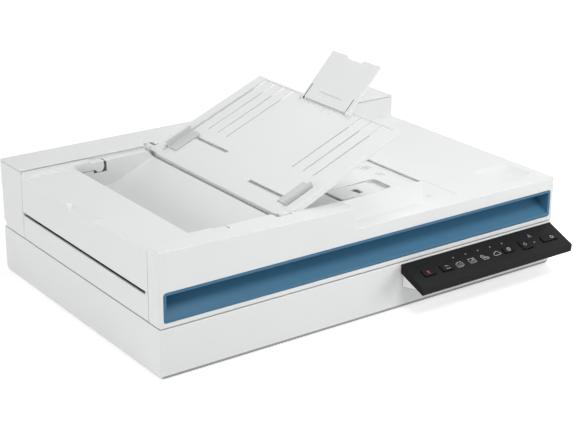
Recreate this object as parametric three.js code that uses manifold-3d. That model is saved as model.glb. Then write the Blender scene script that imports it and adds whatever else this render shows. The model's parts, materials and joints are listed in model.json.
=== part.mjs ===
// Flatbed scanner with a sheet feeder in its lid. Millimetres, +Z up, +X to the right along the front,
// +Y to the back. Sizes are measured from the base's front left corner, heights from a level above the
// table, and the last group moves the whole object so that its box stands centred on the origin.
import * as THREE from "three";
import { mergeVertices } from "three/addons/utils/BufferGeometryUtils.js";
import Module from "manifold-3d";

const wasm = await Module();
wasm.setup();

// Driving sizes
const WIDTH = 500;
const DEPTH = 326.2;
const TABLE = -3.4; // the height of the table that the feet stand on
const SEAM = 1.2; // between base and lid
const GAP = 0.4; // beside a moving moulding
const SEAT = 0.25; // between pieces that are fitted together
const RUN = 0.35; // round a shaft in its hole
const OVER = 6; // how far a cutting tool runs past what it cuts
const WALL = 2.5; // moulded walls
const MERGE = 1e-4;
const ARC_STEPS = 3;
const ROUND_SIDES = 20;
const HOLE_SIDES = 16;

// Sizes whose fromRight and fromBack distances become places from the front left corner.
function placed({ fromRight = {}, fromBack = {}, ...sizes }) {
  const turned = (distances, whole) =>
    Object.entries(distances).map(([name, distance]) => [name, whole - distance]);
  return { ...sizes, ...Object.fromEntries([...turned(fromRight, WIDTH), ...turned(fromBack, DEPTH)]) };
}

const tub = { bottom: -2.4, top: 48, floor: 2.5, corner: 2, lip: 3.4, lipInset: 1.4 };
const foot = { radius: 8, height: 2.2, inset: 26, sink: 1.4, roundShare: 0.98, taperShare: 0.94 };
const platen = placed({
  thick: 2.8, glass: 2, ledge: 5, left: 79, front: 50, stripLeft: 29, stripRight: 57,
  fromRight: { right: 119 }, fromBack: { back: 54.2 },
});
const rod = placed({ y: 60, z: 18, radius: 4, left: 9, post: 8, fromRight: { right: 34 } });
const carriage = placed({
  left: 26, width: 34, front: 36, low: 25, high: 41.5, wall: 2.4, bush: 7, bushInset: 4, clampInset: 12,
  clampWidth: 10, clampThick: 1.8, clampDrop: 14, footHigh: 3, footWide: 8, endPlay: 1,
  fromBack: { back: 42.2 },
});
const sensor = placed({
  inset: 5, front: 44, drop: 9, proud: 0.8, lensHalf: 1.5, fromBack: { back: 50.2 },
});
const belt = placed({
  y: 34, inner: 7.3, thick: 1.4, low: 12, high: 18, left: 18, slack: 0.3, fromRight: { right: 52 },
});
const pulley = { bore: 2.5, flange: 1.2, flangeOver: 1.9, pinTop: 21 };
const motor = { radius: 13, low: 20, high: 43, ear: 22, earWide: 8, earThick: 2.4, earZ: 24, boss: 4 };
const board = placed({
  fromPost: 5, depth: 132, z: 9, thick: 1.6, chip: 14, chipHigh: 3, boss: 3.5,
  fromRight: { right: 16 }, fromBack: { back: 4.2 },
});
const jack = { onBoard: 32, width: 11, depth: 13, height: 11, pin: 3.2, pinShare: 0.3 };
const usb = {
  fromJack: 14, width: 12, depth: 15, height: 11, shell: 1.25, tongueHalf: 2.5, tongueLow: 3.75,
};

const lid = placed({
  top: 97.9, chamfer: 9, wallDepth: 20.6, wallDepthRight: 25.6, wallEnd: 225.3, wallLeftTop: 124.8,
  wallRightTop: 120.1, barTop: 124, cap: 1.8, capSeam: 0.5, fillet: 1.6, feederEnd: 155, frontSkin: 84.6,
  fromBack: { barFront: 47.6, feederBack: 48.8 },
});
const fence = { right: 330, foot: 19, lean: 24, top: 119.7, bow: 1.6 };
const inlay = { past: 3.5, front: 18.5, deep: 0.3 };
const bay = {
  left: 157.5, right: 372, cornerFront: 75, lowLeft: 88, lowRight: 95, thick: 2.4, wall: 1.8, tuck: 4,
};
const flap = {
  left: 276, right: 331, front: 86, back: 117, thick: 2, deep: 3.4, axle: 0.8, axleIn: 1.4, side: 0.8,
  holeLeft: 301, holeRight: 309, holeFront: 93, holeBack: 106, pocketTurn: 4, pocketFloor: 1.6, corner: 3,
  pocketLeft: 272, pocketRight: 342,
};
const dimple = placed({
  width: 49, front: 22, back: 64, deep: 6, draft: 7, turn: 6, wall: 2, fromRight: { right: 11 },
});
const grip = placed({
  left: 4.1, low: 53.7, high: 84.2, turn: 3, rim: 3, deep: 22, ridge: 7, skin: 3, fromRight: { right: 4.4 },
});
const plate = placed({
  thick: 2.5, slotLeft: 27, slotRight: 60, slotFront: 48, fromBack: { slotBack: 52.2 },
});
const pad = { inset: 1, low: 45.4 };
const post = placed({
  width: 26, deep: 11.5, axis: 58, eye: 6, low: 6, pin: 2.5, fromSide: 107, socket: 2,
  fromBack: { y: 8.95 },
});
const leaf = placed({ thick: 2.4, top: 63, fromBack: { front: 26.2, back: 3.7 } });

const cover = placed({
  right: 57, low: 78.6, edge: 119.6, top: 118.6, rimTop: 122.6, front: 21.4, rimFront: 33, skin: 2.4,
  hingeX: 87, hingeZ: 115, knuckle: 6, armStep: 77, armEnd: 92.2, armLow: 112, stepDown: 1.6, pin: 2,
  fromBack: { back: 49.8, rimBack: 60.2 },
});
const notch = { front: 120, back: 177.6, draft: 8.5, low: 111.6, reach: 10, around: 3 };
const slot = placed({ low: 75.1, front: 26.2, fromBack: { back: 51 } });
const feed = {
  wall: 2.4, left: 24, right: 154.4, wallTop: 121, lowTop: 111.4, stepX: 80, stepTop: 108.4, lowEnd: 95.6,
  lipEnd: 94, lipLow: 119.6, ledgeEnd: 147, ledge: 2.4, chuteTopX: 152, chuteTopZ: 114.5, bendX: 105,
  bendZ: 94.5, chuteEndX: 66, chuteEndZ: 87, sheet: 2.4, exitLeftX: 62, exitLeftZ: 54.2, exitRightX: 130,
  exitRightZ: 80.5, mouthLow: 87, mouthHigh: 104,
};
const gear = placed({
  module: 1.5, thick: 5, slackShare: 0.38, tipShare: 0.32, addendum: 1, dedendum: 1.3,
  fromBack: { y: 56.6 },
});
const teeth = { pinion: 9, idler: 35, feed: 22, pick: 18, exit: 23 };
const train = { feedX: 42, feedZ: 70.2, slope: 15, exitSlope: 14, pickLean: 3.8, halfTooth: 0.5 };
const roller = placed({
  feed: 16, pick: 11, exit: 6.5, pinch: 4, nip: 0.6, shaft: 4, pickShaft: 3, exitShaft: 3, pinchShaft: 1.6,
  front: 29, feedFront: 60, pickFront: 130, pickBack: 170, exitFront: 50, stub: 3,
  fromBack: { back: 50.6, pinchBack: 57.2, feedBack: 86.2, exitBack: 76.2 },
});
const turn = { inner: 19, thick: 2.2, from: 118, to: 233, steps: 8, rib: 2 };
const duplex = { left: 68, right: 84, low: 65, high: 78, glass: 9 };
const drive = placed({
  radius: 15, flange: 1.6, flangeWide: 20, shaft: 2, fromBack: { front: 43.2, back: 11.2 },
});

const tray = placed({
  pivotX: 157, pivotZ: 118, angle: 22.5, front: 26, length: 158.3, top: 1, floor: 2, thick: 2.2, start: -1,
  low: 6.4, endLow: 2.2, borderFront: 38.1, skirt: 2, knuckle: 5.5, knuckleOut: 7, frontKnuckleOut: 4,
  pin: 2.2, pinLength: 3.4, cutAround: 0.8, coverEnd: 46, coverThick: 1, wedgeShare: 0.28,
  fromBack: { back: 48, borderBack: 62.4 },
});
const groove = {
  width: 1.8, deep: 1.1, start: 60, end: 2.2, edgeStart: 8, clear: 15.8, count: 3, shortCount: 4,
  shortStart: 140,
};
const extender = {
  fromEnd: 6.3, hingeV: 0.75, front: 106.2, back: 188.6, length: 61.4, thick: 2.4, lean: 24.5, knuckle: 2,
  frontArm: 5.2, frontSlit: 1, backArm: 2.8, backSlit: 1.1, foot: 0.6, slitLength: 17, slitFloor: 0.9,
  notchTop: 28.7,
  notchLow: 21.6, notchDeep: 3.2, ear: 3, earGap: 0.4, pin: 1.1, lift: 2.2, dent: 1, dentWide: 37,
  dentLow: 2.8, dentHigh: 12.6,
};
const guide = {
  u: 14, length: 34, thick: 2, high: 7, foot: 1, footReach: 15, neck: 2.4, rack: 3.4, rackThick: 1.4,
  tooth: 1.2, pinionTeeth: 12, travel: 60, rackReach: 14, midU: 32, boss: 1.8, slotWide: 4, fromWall: 0.5,
  bite: 0.28,
};

const panel = placed({
  backZ: 46.6, reach: 35.8, frontZ: 32.1, chin: 35, chinZ: 23.6, backLow: 36.5, skin: 2, offset: 0.3,
  boardTop: 5, boardThick: 1.4, boardFront: 36, boardBack: 6, boardInset: 4, switchHigh: 0.7,
  switchSide: 3, fromRight: { left: 214.5, right: 3 },
});
const fairing = { inLeft: 3, inRight: 15, tipY: 26, tipZ: 24.9, low: 20.4, taper: 8, skin: 2, under: 0.35 };
const button = { proud: 0.9, flange: 1.4, flangeThick: 1.2, hang: 3.6, play: 0.8, turn: 1.6 };
const buttonInsets = {
  cancel_button: { left: 13.5, right: 28, near: 16.5, far: 24.5 },
  select_button: { left: 38, right: 52, near: 17, far: 25 },
  duplex_button: { left: 124.5, right: 138.2, near: 17.6, far: 24.8 },
  start_button: { left: 149.8, right: 163.7, near: 15, far: 27 },
  power_button: { left: 180.5, right: 201, near: 17.3, far: 25 },
};
const lamp = { radius: 0.9, s: 10.3, first: 62.2, last: 131.1, count: 5, bar: 1.8, thick: 1.2, drop: 2.3 };
const alert = { inset: 169.9, s: 21 };

// Places that follow from the sizes
const boardLeft = WIDTH - post.fromSide + board.fromPost;
const boardFront = board.back - board.depth;
const jackX = boardLeft + jack.onBoard;
const usbX = jackX + jack.width + usb.fromJack;
const carriageTravel = platen.right - carriage.left - carriage.width - carriage.endPlay;
const hingeU = tray.length - extender.fromEnd;
const buttonPlaces = Object.fromEntries(
  Object.entries(buttonInsets).map(([name, { left, right, near, far }]) => [
    name, { left: panel.left + left, right: panel.left + right, near, far },
  ]),
);
const tubTop = tub.top;
const lidLow = tubTop + SEAM;
const barHeight = lid.barTop - lid.cap;

// Finishes
const finish = (color, roughness, metalness = 0) =>
  new THREE.MeshStandardMaterial({ color, roughness, metalness });
const finishes = {
  white: finish(0xe9ebea, 0.5),
  paleGrey: finish(0xd3d6d5, 0.55),
  innerGrey: finish(0x8f9495, 0.6),
  black: finish(0x2a2b2d, 0.4),
  blue: finish(0x2f5f7d, 0.45),
  rubber: finish(0x36383a, 0.9),
  foam: finish(0xf4f4f1, 0.95),
  glass: finish(0xbcd0cf, 0.05),
  steel: finish(0xb9bcc0, 0.3, 1),
  green: finish(0x2c6a4a, 0.6),
  gear: finish(0xdedacb, 0.6),
  lens: finish(0xdfe7ea, 0.2),
  keys: finish(0x333537, 0.5),
};

// Shapes

// A closed geometry as a solid that can be joined and cut.
function solid(geometry) {
  const bare = geometry.clone();
  bare.deleteAttribute("normal");
  bare.deleteAttribute("uv");
  const merged = mergeVertices(bare, MERGE);
  return new wasm.Manifold(
    new wasm.Mesh({
      numProp: 3,
      vertProperties: merged.attributes.position.array,
      triVerts: new Uint32Array(merged.index.array),
    }),
  );
}

// A box between two corners.
function block(x0, x1, y0, y1, z0, z1) {
  const geometry = new THREE.BoxGeometry(x1 - x0, y1 - y0, z1 - z0);
  return solid(geometry.translate((x0 + x1) / 2, (y0 + y1) / 2, (z0 + z1) / 2));
}

const AXES = {
  x: [new THREE.Vector3(0, 1, 0), new THREE.Vector3(0, 0, 1), new THREE.Vector3(1, 0, 0)],
  y: [new THREE.Vector3(1, 0, 0), new THREE.Vector3(0, 0, 1), new THREE.Vector3(0, -1, 0)],
  z: [new THREE.Vector3(1, 0, 0), new THREE.Vector3(0, 1, 0), new THREE.Vector3(0, 0, 1)],
};

// An outline carried along an axis. Points are (y, z), (x, z) or (x, y) for the axes x, y and z.
function prism(axis, from, to, points) {
  const shape = new THREE.Shape(points.map(([u, v]) => new THREE.Vector2(u, v)));
  const geometry = new THREE.ExtrudeGeometry(shape, { depth: to - from, bevelEnabled: false });
  geometry.translate(0, 0, axis === "y" ? -to : from);
  return solid(geometry.applyMatrix4(new THREE.Matrix4().makeBasis(...AXES[axis])));
}

// Points of a rectangle with round corners.
function roundRect(u0, u1, v0, v1, radius) {
  const corners = [
    [u1 - radius, v0 + radius, -90],
    [u1 - radius, v1 - radius, 0],
    [u0 + radius, v1 - radius, 90],
    [u0 + radius, v0 + radius, 180],
  ];
  return corners.flatMap(([u, v, start]) =>
    Array.from({ length: ARC_STEPS + 1 }, (_, i) => {
      const angle = THREE.MathUtils.degToRad(start + (90 * i) / ARC_STEPS);
      return [u + radius * Math.cos(angle), v + radius * Math.sin(angle)];
    }),
  );
}

// A round bar or hole along an axis.
function round(axis, from, to, u, v, radius, sides = ROUND_SIDES) {
  const points = Array.from({ length: sides }, (_, i) => {
    const angle = (2 * Math.PI * i) / sides;
    return [u + radius * Math.cos(angle), v + radius * Math.sin(angle)];
  });
  return prism(axis, from, to, points);
}

// Rings of equal point counts, from the lowest up, closed at both ends.
function stack(rings) {
  const count = rings[0].points.length;
  const positions = rings.flatMap(({ z, points }) => points.flatMap(([x, y]) => [x, y, z]));
  const index = [];
  for (let level = 0; level + 1 < rings.length; level++) {
    for (let i = 0; i < count; i++) {
      const a = level * count + i;
      const b = level * count + ((i + 1) % count);
      index.push(a, b, b + count, a, b + count, a + count);
    }
  }
  const last = (rings.length - 1) * count;
  for (let i = 1; i + 1 < count; i++) {
    index.push(0, i + 1, i);
    index.push(last, last + i, last + i + 1);
  }
  const geometry = new THREE.BufferGeometry();
  geometry.setAttribute("position", new THREE.Float32BufferAttribute(positions, 3));
  geometry.setIndex(index);
  return solid(geometry);
}

const join = (first, ...others) => others.reduce((sum, next) => sum.add(next), first);
const cut = (first, ...others) => others.reduce((rest, next) => rest.subtract(next), first);

// A named mesh of a finished solid.
function piece(name, shape, material) {
  const made = shape.getMesh();
  const geometry = new THREE.BufferGeometry();
  geometry.setAttribute("position", new THREE.BufferAttribute(new Float32Array(made.vertProperties), 3));
  geometry.setIndex(new THREE.BufferAttribute(new Uint32Array(made.triVerts), 1));
  geometry.computeVertexNormals();
  const mesh = new THREE.Mesh(geometry, material);
  mesh.name = name;
  return mesh;
}

// A sheet of even thickness under a line of (x, z) points, carried along Y.
function bentSheet(line, thickness, y0, y1) {
  const under = line.map(([x, z]) => [x, z - thickness]).reverse();
  return prism("y", y0, y1, [...line, ...under]);
}

// Outline of a toothed wheel with straight-sided teeth, the first tooth at the given angle in degrees.
function toothed(u, v, count, size, firstTooth) {
  const pitch = (size * count) / 2;
  const tip = pitch + size * gear.addendum;
  const root = pitch - size * gear.dedendum;
  const step = 360 / count;
  const half = (step * gear.slackShare) / 2;
  const rootHalf = half * (2 - gear.tipShare);
  const tipHalf = half * gear.tipShare * 2;
  const at = (angle, radius) => {
    const turned = THREE.MathUtils.degToRad(firstTooth + angle);
    return [u + radius * Math.cos(turned), v + radius * Math.sin(turned)];
  };
  return Array.from({ length: count }, (_, i) => [
    at(i * step - rootHalf, root),
    at(i * step - tipHalf, tip),
    at(i * step + tipHalf, tip),
    at(i * step + rootHalf, root),
  ]).flat();
}

// Base
function baseTub() {
  const ring = (z, inset) => ({
    z,
    points: roundRect(inset, WIDTH - inset, inset, DEPTH - inset, tub.corner),
  });
  const shell = stack([ring(tub.bottom, tub.lipInset), ring(tub.bottom + tub.lip, 0), ring(tubTop, 0)]);
  const floorZ = tub.bottom + tub.floor;
  const rootZ = tub.bottom + tub.floor / 2; // posts start inside the floor
  const inside = block(WALL, WIDTH - WALL, WALL, DEPTH - WALL, floorZ, tubTop + OVER);
  const feetHoles = footPlaces().map(({ x, y }) =>
    round("z", tub.bottom - OVER, tub.bottom + foot.sink, x, y, foot.radius + SEAT),
  );
  const jackHole = block(
    jackX - SEAT, jackX + jack.width + SEAT, DEPTH - WALL - OVER, DEPTH + OVER, boardTopZ,
    boardTopZ + jack.height + 2 * SEAT,
  );
  const usbHole = block(
    usbX - SEAT, usbX + usb.width + SEAT, DEPTH - WALL - OVER, DEPTH + OVER, boardTopZ,
    boardTopZ + usb.height + 2 * SEAT,
  );
  const bare = cut(shell, inside, ...feetHoles, jackHole, usbHole);
  const sockets = postPlaces().map((x) => {
    const low = post.y - post.deep / 2 - GAP;
    const outer = block(
      x - GAP - post.socket, x + post.width + GAP + post.socket, low - post.socket, DEPTH - WALL, rootZ,
      platenLow - SEAT,
    );
    const hole = block(x - GAP, x + post.width + GAP, low, DEPTH - WALL, floorZ, tubTop);
    return cut(outer, hole);
  });
  const rodPosts = [rod.left - WALL, rod.right - rod.post + WALL].map((x) =>
    block(x, x + rod.post, rod.y - rod.radius - WALL, rod.y + rod.radius + WALL, rootZ, rod.z),
  );
  const rail = block(
    WALL, carriage.left + carriage.width + carriageTravel + OVER, carriage.back - carriage.footWide,
    carriage.back, rootZ, carriage.low - carriage.footHigh - GAP,
  );
  const idlerPin = round("z", rootZ, pulley.pinTop, belt.left, belt.y, pulley.bore, HOLE_SIDES);
  const motorBosses = [-1, 1].map((side) =>
    round(
      "z", rootZ, motor.earZ - SEAT, belt.right + side * (motor.ear - motor.boss), belt.y, motor.boss,
      HOLE_SIDES,
    ),
  );
  const standoffs = [boardLeft + board.boss, board.right - board.boss].flatMap((x) =>
    [boardFront + board.boss, board.back - 2 * board.boss].map((y) =>
      round("z", rootZ, board.z - SEAT, x, y, board.boss, HOLE_SIDES),
    ),
  );
  const rodHole = round("x", rod.left - OVER, rod.right + OVER, rod.y, rod.z, rod.radius + SEAT);
  const built = join(bare, ...sockets, ...rodPosts, rail, idlerPin, ...motorBosses, ...standoffs);
  return piece("base_tub", cut(built, rodHole), finishes.white);
}

function footPlaces() {
  return [
    { name: "foot_front_left", x: foot.inset, y: foot.inset },
    { name: "foot_front_right", x: WIDTH - foot.inset, y: foot.inset },
    { name: "foot_rear_left", x: foot.inset, y: DEPTH - foot.inset },
    { name: "foot_rear_right", x: WIDTH - foot.inset, y: DEPTH - foot.inset },
  ];
}

const postPlaces = () => [post.fromSide, WIDTH - post.fromSide - post.width];
const platenLow = tubTop - platen.thick;
const boardTopZ = board.z + board.thick + SEAT;

function platenFrame() {
  const sheet = block(
    WALL + SEAT, WIDTH - WALL - SEAT, WALL + SEAT, DEPTH - WALL - SEAT, platenLow, tubTop,
  );
  const window = (left, right) =>
    block(left, right, platen.front, platen.back, platenLow - OVER, tubTop + OVER);
  const postHoles = postPlaces().map((x) =>
    block(
      x - GAP, x + post.width + GAP, post.y - post.deep / 2 - GAP, DEPTH, platenLow - OVER, tubTop + OVER,
    ),
  );
  const shape = cut(
    sheet, window(platen.left, platen.right), window(platen.stripLeft, platen.stripRight), ...postHoles,
  );
  return piece("platen_frame", shape, finishes.paleGrey);
}

function glass(name, left, right) {
  const top = platenLow - SEAT;
  const shape = block(
    left - platen.ledge, right + platen.ledge, platen.front - platen.ledge, platen.back + platen.ledge,
    top - platen.glass, top,
  );
  return piece(name, shape, finishes.glass);
}

function feet() {
  return footPlaces().map(({ name, x, y }) => {
    const radius = foot.radius;
    const ring = (z, share) => ({
      z,
      points: roundRect(
        x - radius * share, x + radius * share, y - radius * share, y + radius * share,
        radius * share * foot.roundShare,
      ),
    });
    const top = TABLE + foot.height;
    const shape = stack([ring(TABLE, foot.taperShare), ring(TABLE + foot.height / 2, 1), ring(top, 1)]);
    return piece(name, shape.intersect(round("z", TABLE, top, x, y, radius)), finishes.rubber);
  });
}

function guideRod() {
  return piece(
    "guide_rod", round("x", rod.left, rod.right, rod.y, rod.z, rod.radius, HOLE_SIDES), finishes.steel,
  );
}

function scanCarriage() {
  const { left, width, front, back, low, high, wall } = carriage;
  const outer = block(left, left + width, front, back, low, high);
  const well = block(left + sensor.inset - wall + SEAT, left + width - sensor.inset + wall - SEAT,
    sensor.front - wall, sensor.back + wall, low + wall, high + OVER);
  const bush = block(
    left + carriage.bushInset, left + width - carriage.bushInset, rod.y - carriage.bush,
    rod.y + carriage.bush,
    rod.z - carriage.bush, low + wall,
  );
  const bushHole = round("x", left - OVER, left + width + OVER, rod.y, rod.z, rod.radius + RUN);
  const run = belt.y + belt.inner + belt.thick / 2;
  const half = belt.thick / 2 + GAP;
  const clamp = [run - half - carriage.clampThick, run + half].map((y) =>
    block(
      left + carriage.clampInset, left + carriage.clampInset + carriage.clampWidth, y,
      y + carriage.clampThick,
      low - carriage.clampDrop, low + wall,
    ),
  );
  const slider = block(
    left, left + width, back - carriage.footWide, back, low - carriage.footHigh, low + wall,
  );
  return piece(
    "scan_carriage", cut(join(cut(outer, well), bush, ...clamp, slider), bushHole), finishes.black,
  );
}

function imageSensor() {
  const { left, width, high } = carriage;
  const body = block(
    left + sensor.inset, left + width - sensor.inset, sensor.front, sensor.back, high - sensor.drop,
    high + sensor.proud,
  );
  const mid = left + width / 2;
  const lens = block(
    mid - sensor.lensHalf, mid + sensor.lensHalf, sensor.front + OVER, sensor.back - OVER, high - GAP,
    high + OVER,
  );
  return piece("image_sensor", cut(body, lens), finishes.rubber);
}

// A belt or other loop round two wheels, seen from above.
function loopOutline(radius) {
  const arc = (x, start) =>
    Array.from({ length: ARC_STEPS * 4 + 1 }, (_, i) => {
      const angle = THREE.MathUtils.degToRad(start + (180 * i) / (ARC_STEPS * 4));
      return [x + radius * Math.cos(angle), belt.y + radius * Math.sin(angle)];
    });
  return [...arc(belt.right, -90), ...arc(belt.left, 90)];
}

function driveBelt() {
  const outer = prism("z", belt.low, belt.high, loopOutline(belt.inner + belt.thick));
  const inner = prism("z", belt.low - OVER, belt.high + OVER, loopOutline(belt.inner));
  return piece("drive_belt", cut(outer, inner), finishes.rubber);
}

function beltPulley(x) {
  const radius = belt.inner - belt.slack;
  const drum = round("z", belt.low - belt.slack, belt.high + belt.slack, x, belt.y, radius);
  const rim = radius + pulley.flangeOver;
  const lower = round("z", belt.low - belt.slack - pulley.flange, belt.low - belt.slack, x, belt.y, rim);
  return join(drum, lower);
}

function idlerPulley() {
  const hole = round("z", 0, belt.high + OVER, belt.left, belt.y, pulley.bore + RUN, HOLE_SIDES);
  return piece("idler_pulley", cut(beltPulley(belt.left), hole), finishes.gear);
}

function drivePulley() {
  const shaft = round(
    "z", belt.low - belt.slack, motor.low - GAP, belt.right, belt.y, pulley.bore, HOLE_SIDES,
  );
  return piece("drive_pulley", join(beltPulley(belt.right), shaft), finishes.steel);
}

function carriageMotor() {
  const can = round("z", motor.low, motor.high, belt.right, belt.y, motor.radius);
  const ears = block(
    belt.right - motor.ear, belt.right + motor.ear, belt.y - motor.earWide, belt.y + motor.earWide,
    motor.earZ, motor.earZ + motor.earThick,
  );
  return piece("carriage_motor", join(can, ears), finishes.steel);
}

function mainBoard() {
  const sheet = block(boardLeft, board.right, boardFront, board.back, board.z, board.z + board.thick);
  const mid = (boardLeft + board.right) / 2;
  const chips = [boardFront + 2 * board.chip, boardFront + 4 * board.chip].map((y) =>
    block(
      mid - board.chip, mid + board.chip, y, y + board.chip, board.z + board.thick / 2,
      boardTopZ + board.chipHigh,
    ),
  );
  return piece("main_board", join(sheet, ...chips), finishes.green);
}

function powerJack() {
  const z = boardTopZ + SEAT;
  const back = DEPTH - SEAT;
  const body = block(jackX, jackX + jack.width, back - jack.depth, back, z, z + jack.height);
  const mid = { x: jackX + jack.width / 2, z: z + jack.height / 2 };
  const hole = round("y", back - jack.depth + WALL, back + OVER, mid.x, mid.z, jack.pin, HOLE_SIDES);
  const pin = round(
    "y", back - jack.depth + WALL / 2, back - WALL, mid.x, mid.z, jack.pin * jack.pinShare, HOLE_SIDES,
  );
  return piece("power_jack", join(cut(body, hole), pin), finishes.black);
}

function usbSocket() {
  const z = boardTopZ + SEAT;
  const back = DEPTH - SEAT;
  const body = block(usbX, usbX + usb.width, back - usb.depth, back, z, z + usb.height);
  const hole = block(
    usbX + usb.shell, usbX + usb.width - usb.shell, back - usb.depth + WALL, back + OVER,
    z + usb.shell, z + usb.height - usb.shell,
  );
  const mid = usbX + usb.width / 2;
  const tongue = block(
    mid - usb.tongueHalf, mid + usb.tongueHalf, back - usb.depth + usb.shell, back - WALL,
    z + usb.tongueLow, z + usb.height - 2 * WALL,
  );
  return piece("usb_socket", join(cut(body, hole), tongue), finishes.steel);
}

// Control panel on the base's front
const panelSlope = Math.atan2(panel.backZ - panel.frontZ, panel.reach);

// A flat thing in the panel's own frame: x, distance down the slope, and height over the face.
function onPanel(x0, x1, s0, s1, n0, n1) {
  return block(x0, x1, -s1, -s0, n0, n1);
}

function onPanelRound(x0, x1, s0, s1, n0, n1, radius) {
  return prism("z", n0, n1, roundRect(x0, x1, -s1, -s0, radius));
}

// A shape from the panel's frame, turned and moved to the base's frame.
function fromPanel(shape) {
  const slope = THREE.MathUtils.radToDeg(panelSlope);
  return shape.rotate([slope, 0, 0]).translate([0, -panel.offset, panel.backZ]);
}

// Each lamp's x and its distance down the panel's slope.
const lampOpenings = () => [
  ...Array.from({ length: lamp.count }, (_, i) => [
    panel.left + lamp.first + ((lamp.last - lamp.first) * i) / (lamp.count - 1),
    lamp.s,
  ]),
  [panel.left + alert.inset, alert.s],
];

function panelHousing() {
  const { left, right, backZ, reach, frontZ, chin, chinZ, backLow, skin, offset } = panel;
  const outer = prism("x", left, right, [
    [-offset, backZ],
    [-offset, backLow],
    [-chin, chinZ],
    [-reach, frontZ],
  ]);
  const drop = skin / Math.cos(panelSlope);
  const slopeTan = Math.tan(panelSlope);
  const topAt = (y) => backZ + y * slopeTan - drop;
  const inner = prism("x", left + skin, right - skin, [
    [-offset - skin, topAt(-offset - skin)],
    [-offset - skin, backLow - skin - OVER],
    [-chin + skin, chinZ - skin - OVER],
    [-reach + skin, topAt(-reach + skin)],
  ]);
  const openings = Object.values(buttonPlaces).map(({ left: x0, right: x1, near, far }) =>
    onPanelRound(
      x0 - button.play, x1 + button.play, near - button.play, far + button.play, -skin - OVER, OVER,
      button.turn,
    ),
  );
  const lamps = lampOpenings().map(([x, s]) =>
    round("z", -skin - OVER, OVER, x, -s, lamp.radius + SEAT, HOLE_SIDES / 2),
  );
  return piece(
    "panel_housing", cut(outer, inner, ...[...openings, ...lamps].map(fromPanel)), finishes.black,
  );
}

function panelFairing() {
  const { tipY, tipZ, low, taper, skin, under } = fairing;
  const left = panel.left + fairing.inLeft;
  const right = panel.right - fairing.inRight;
  const slopeTan = (panel.backLow - panel.chinZ) / (panel.chin - panel.offset);
  const topAt = (y) => panel.backLow + (y + panel.offset) * slopeTan - under;
  const lip = tipY + skin;
  const outline = [
    [-panel.offset, topAt(-panel.offset)],
    [-panel.offset, low],
    [-tipY, tipZ],
    [-lip, topAt(-lip)],
  ];
  const body = prism("x", left, right, outline);
  const hollow = prism("x", left + skin, right - taper, [
    [OVER, topAt(0) - skin],
    [OVER, low + skin],
    [-panel.offset, low + skin],
    [-tipY + 3 * skin, tipZ + skin / 2],
    [-tipY + 3 * skin, topAt(-tipY + 3 * skin) - skin],
  ]);
  const corner = prism("y", -lip - OVER, OVER, [
    [right - taper, low - OVER],
    [right + OVER, low - OVER],
    [right + OVER, panel.backLow],
    [right, low + taper],
    [right - taper, low - OVER / 2],
  ]);
  return piece("panel_fairing", cut(body, hollow, corner), finishes.white);
}

function panelBoard() {
  const { left, right, skin, boardTop, boardThick, boardFront, boardBack, boardInset } = panel;
  const sheet = onPanel(
    left + boardInset, right - boardInset, boardBack, boardFront, -boardTop - boardThick, -boardTop,
  );
  const switches = Object.values(buttonPlaces).map(({ left: x0, right: x1, near, far }) => {
    const x = (x0 + x1) / 2;
    const s = (near + far) / 2;
    const half = panel.switchSide;
    return onPanel(
      x - half, x + half, s - half, s + half, -boardTop - boardThick / 2, -boardTop + panel.switchHigh,
    );
  });
  return piece("panel_board", join(sheet, ...switches), finishes.green);
}

// One clear comb: a bar under the status lamps, an arm to the alert lamp, and a prong up into each opening.
function statusLenses() {
  const low = -lamp.drop - lamp.thick;
  const half = lamp.bar;
  const alertX = panel.left + alert.inset;
  const bar = onPanel(
    panel.left + lamp.first - half, alertX + half, lamp.s - half, lamp.s + half, low, -lamp.drop,
  );
  const arm = onPanel(alertX - half, alertX + half, lamp.s, alert.s + half, low, -lamp.drop);
  const prongs = lampOpenings().map(([x, s]) => round("z", low, 0, x, -s, lamp.radius, HOLE_SIDES / 2));
  return piece("status_lenses", join(bar, arm, ...prongs), finishes.lens);
}

function buttons() {
  return Object.entries(buttonPlaces).map(([name, { left, right, near, far }]) => {
    const cap = onPanelRound(left, right, near, far, -button.hang, button.proud, button.turn);
    const f = button.flange;
    const flange = onPanel(
      left - f, right + f, near - f, far + f, -button.hang, -button.hang + button.flangeThick,
    );
    return piece(name, join(cap, flange), finishes.keys);
  });
}

// Hinge posts, which slide up in the base, and the lid's half of each hinge
function hingePost(name, x) {
  const y0 = post.y - post.deep / 2;
  const y1 = post.y + post.deep / 2;
  const shank = block(x, x + post.width, y0, y1, post.low, post.axis);
  const eye = round("x", x, x + post.width, post.y, post.axis, post.eye);
  const hole = round("x", x - OVER, x + post.width + OVER, post.y, post.axis, post.pin + RUN, HOLE_SIDES);
  return piece(name, cut(join(shank, eye), hole), finishes.innerGrey);
}

function hingeLeaf(name, x) {
  const left = x - GAP - leaf.thick;
  const right = x + post.width + GAP + leaf.thick;
  const low = lidLow + plate.thick + SEAT;
  const bridgeBack = post.y - post.eye - 2 * GAP;
  const bridge = block(left, right, leaf.front, bridgeBack, low, low + leaf.thick);
  const cheeks = [left, right - leaf.thick].map((side) =>
    prism("x", side, side + leaf.thick, [
      [leaf.front, low],
      [leaf.back, low],
      [leaf.back, leaf.top],
      [bridgeBack, leaf.top],
      [leaf.front, low + leaf.thick],
    ]),
  );
  const hole = round("x", left - OVER, right + OVER, post.y, post.axis, post.pin + SEAT, HOLE_SIDES);
  return piece(name, cut(join(bridge, ...cheeks), hole), finishes.steel);
}

function hingePin(name, x) {
  const left = x - GAP - leaf.thick;
  const right = x + post.width + GAP + leaf.thick;
  return piece(name, round("x", left, right, post.y, post.axis, post.pin, HOLE_SIDES), finishes.steel);
}

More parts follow.
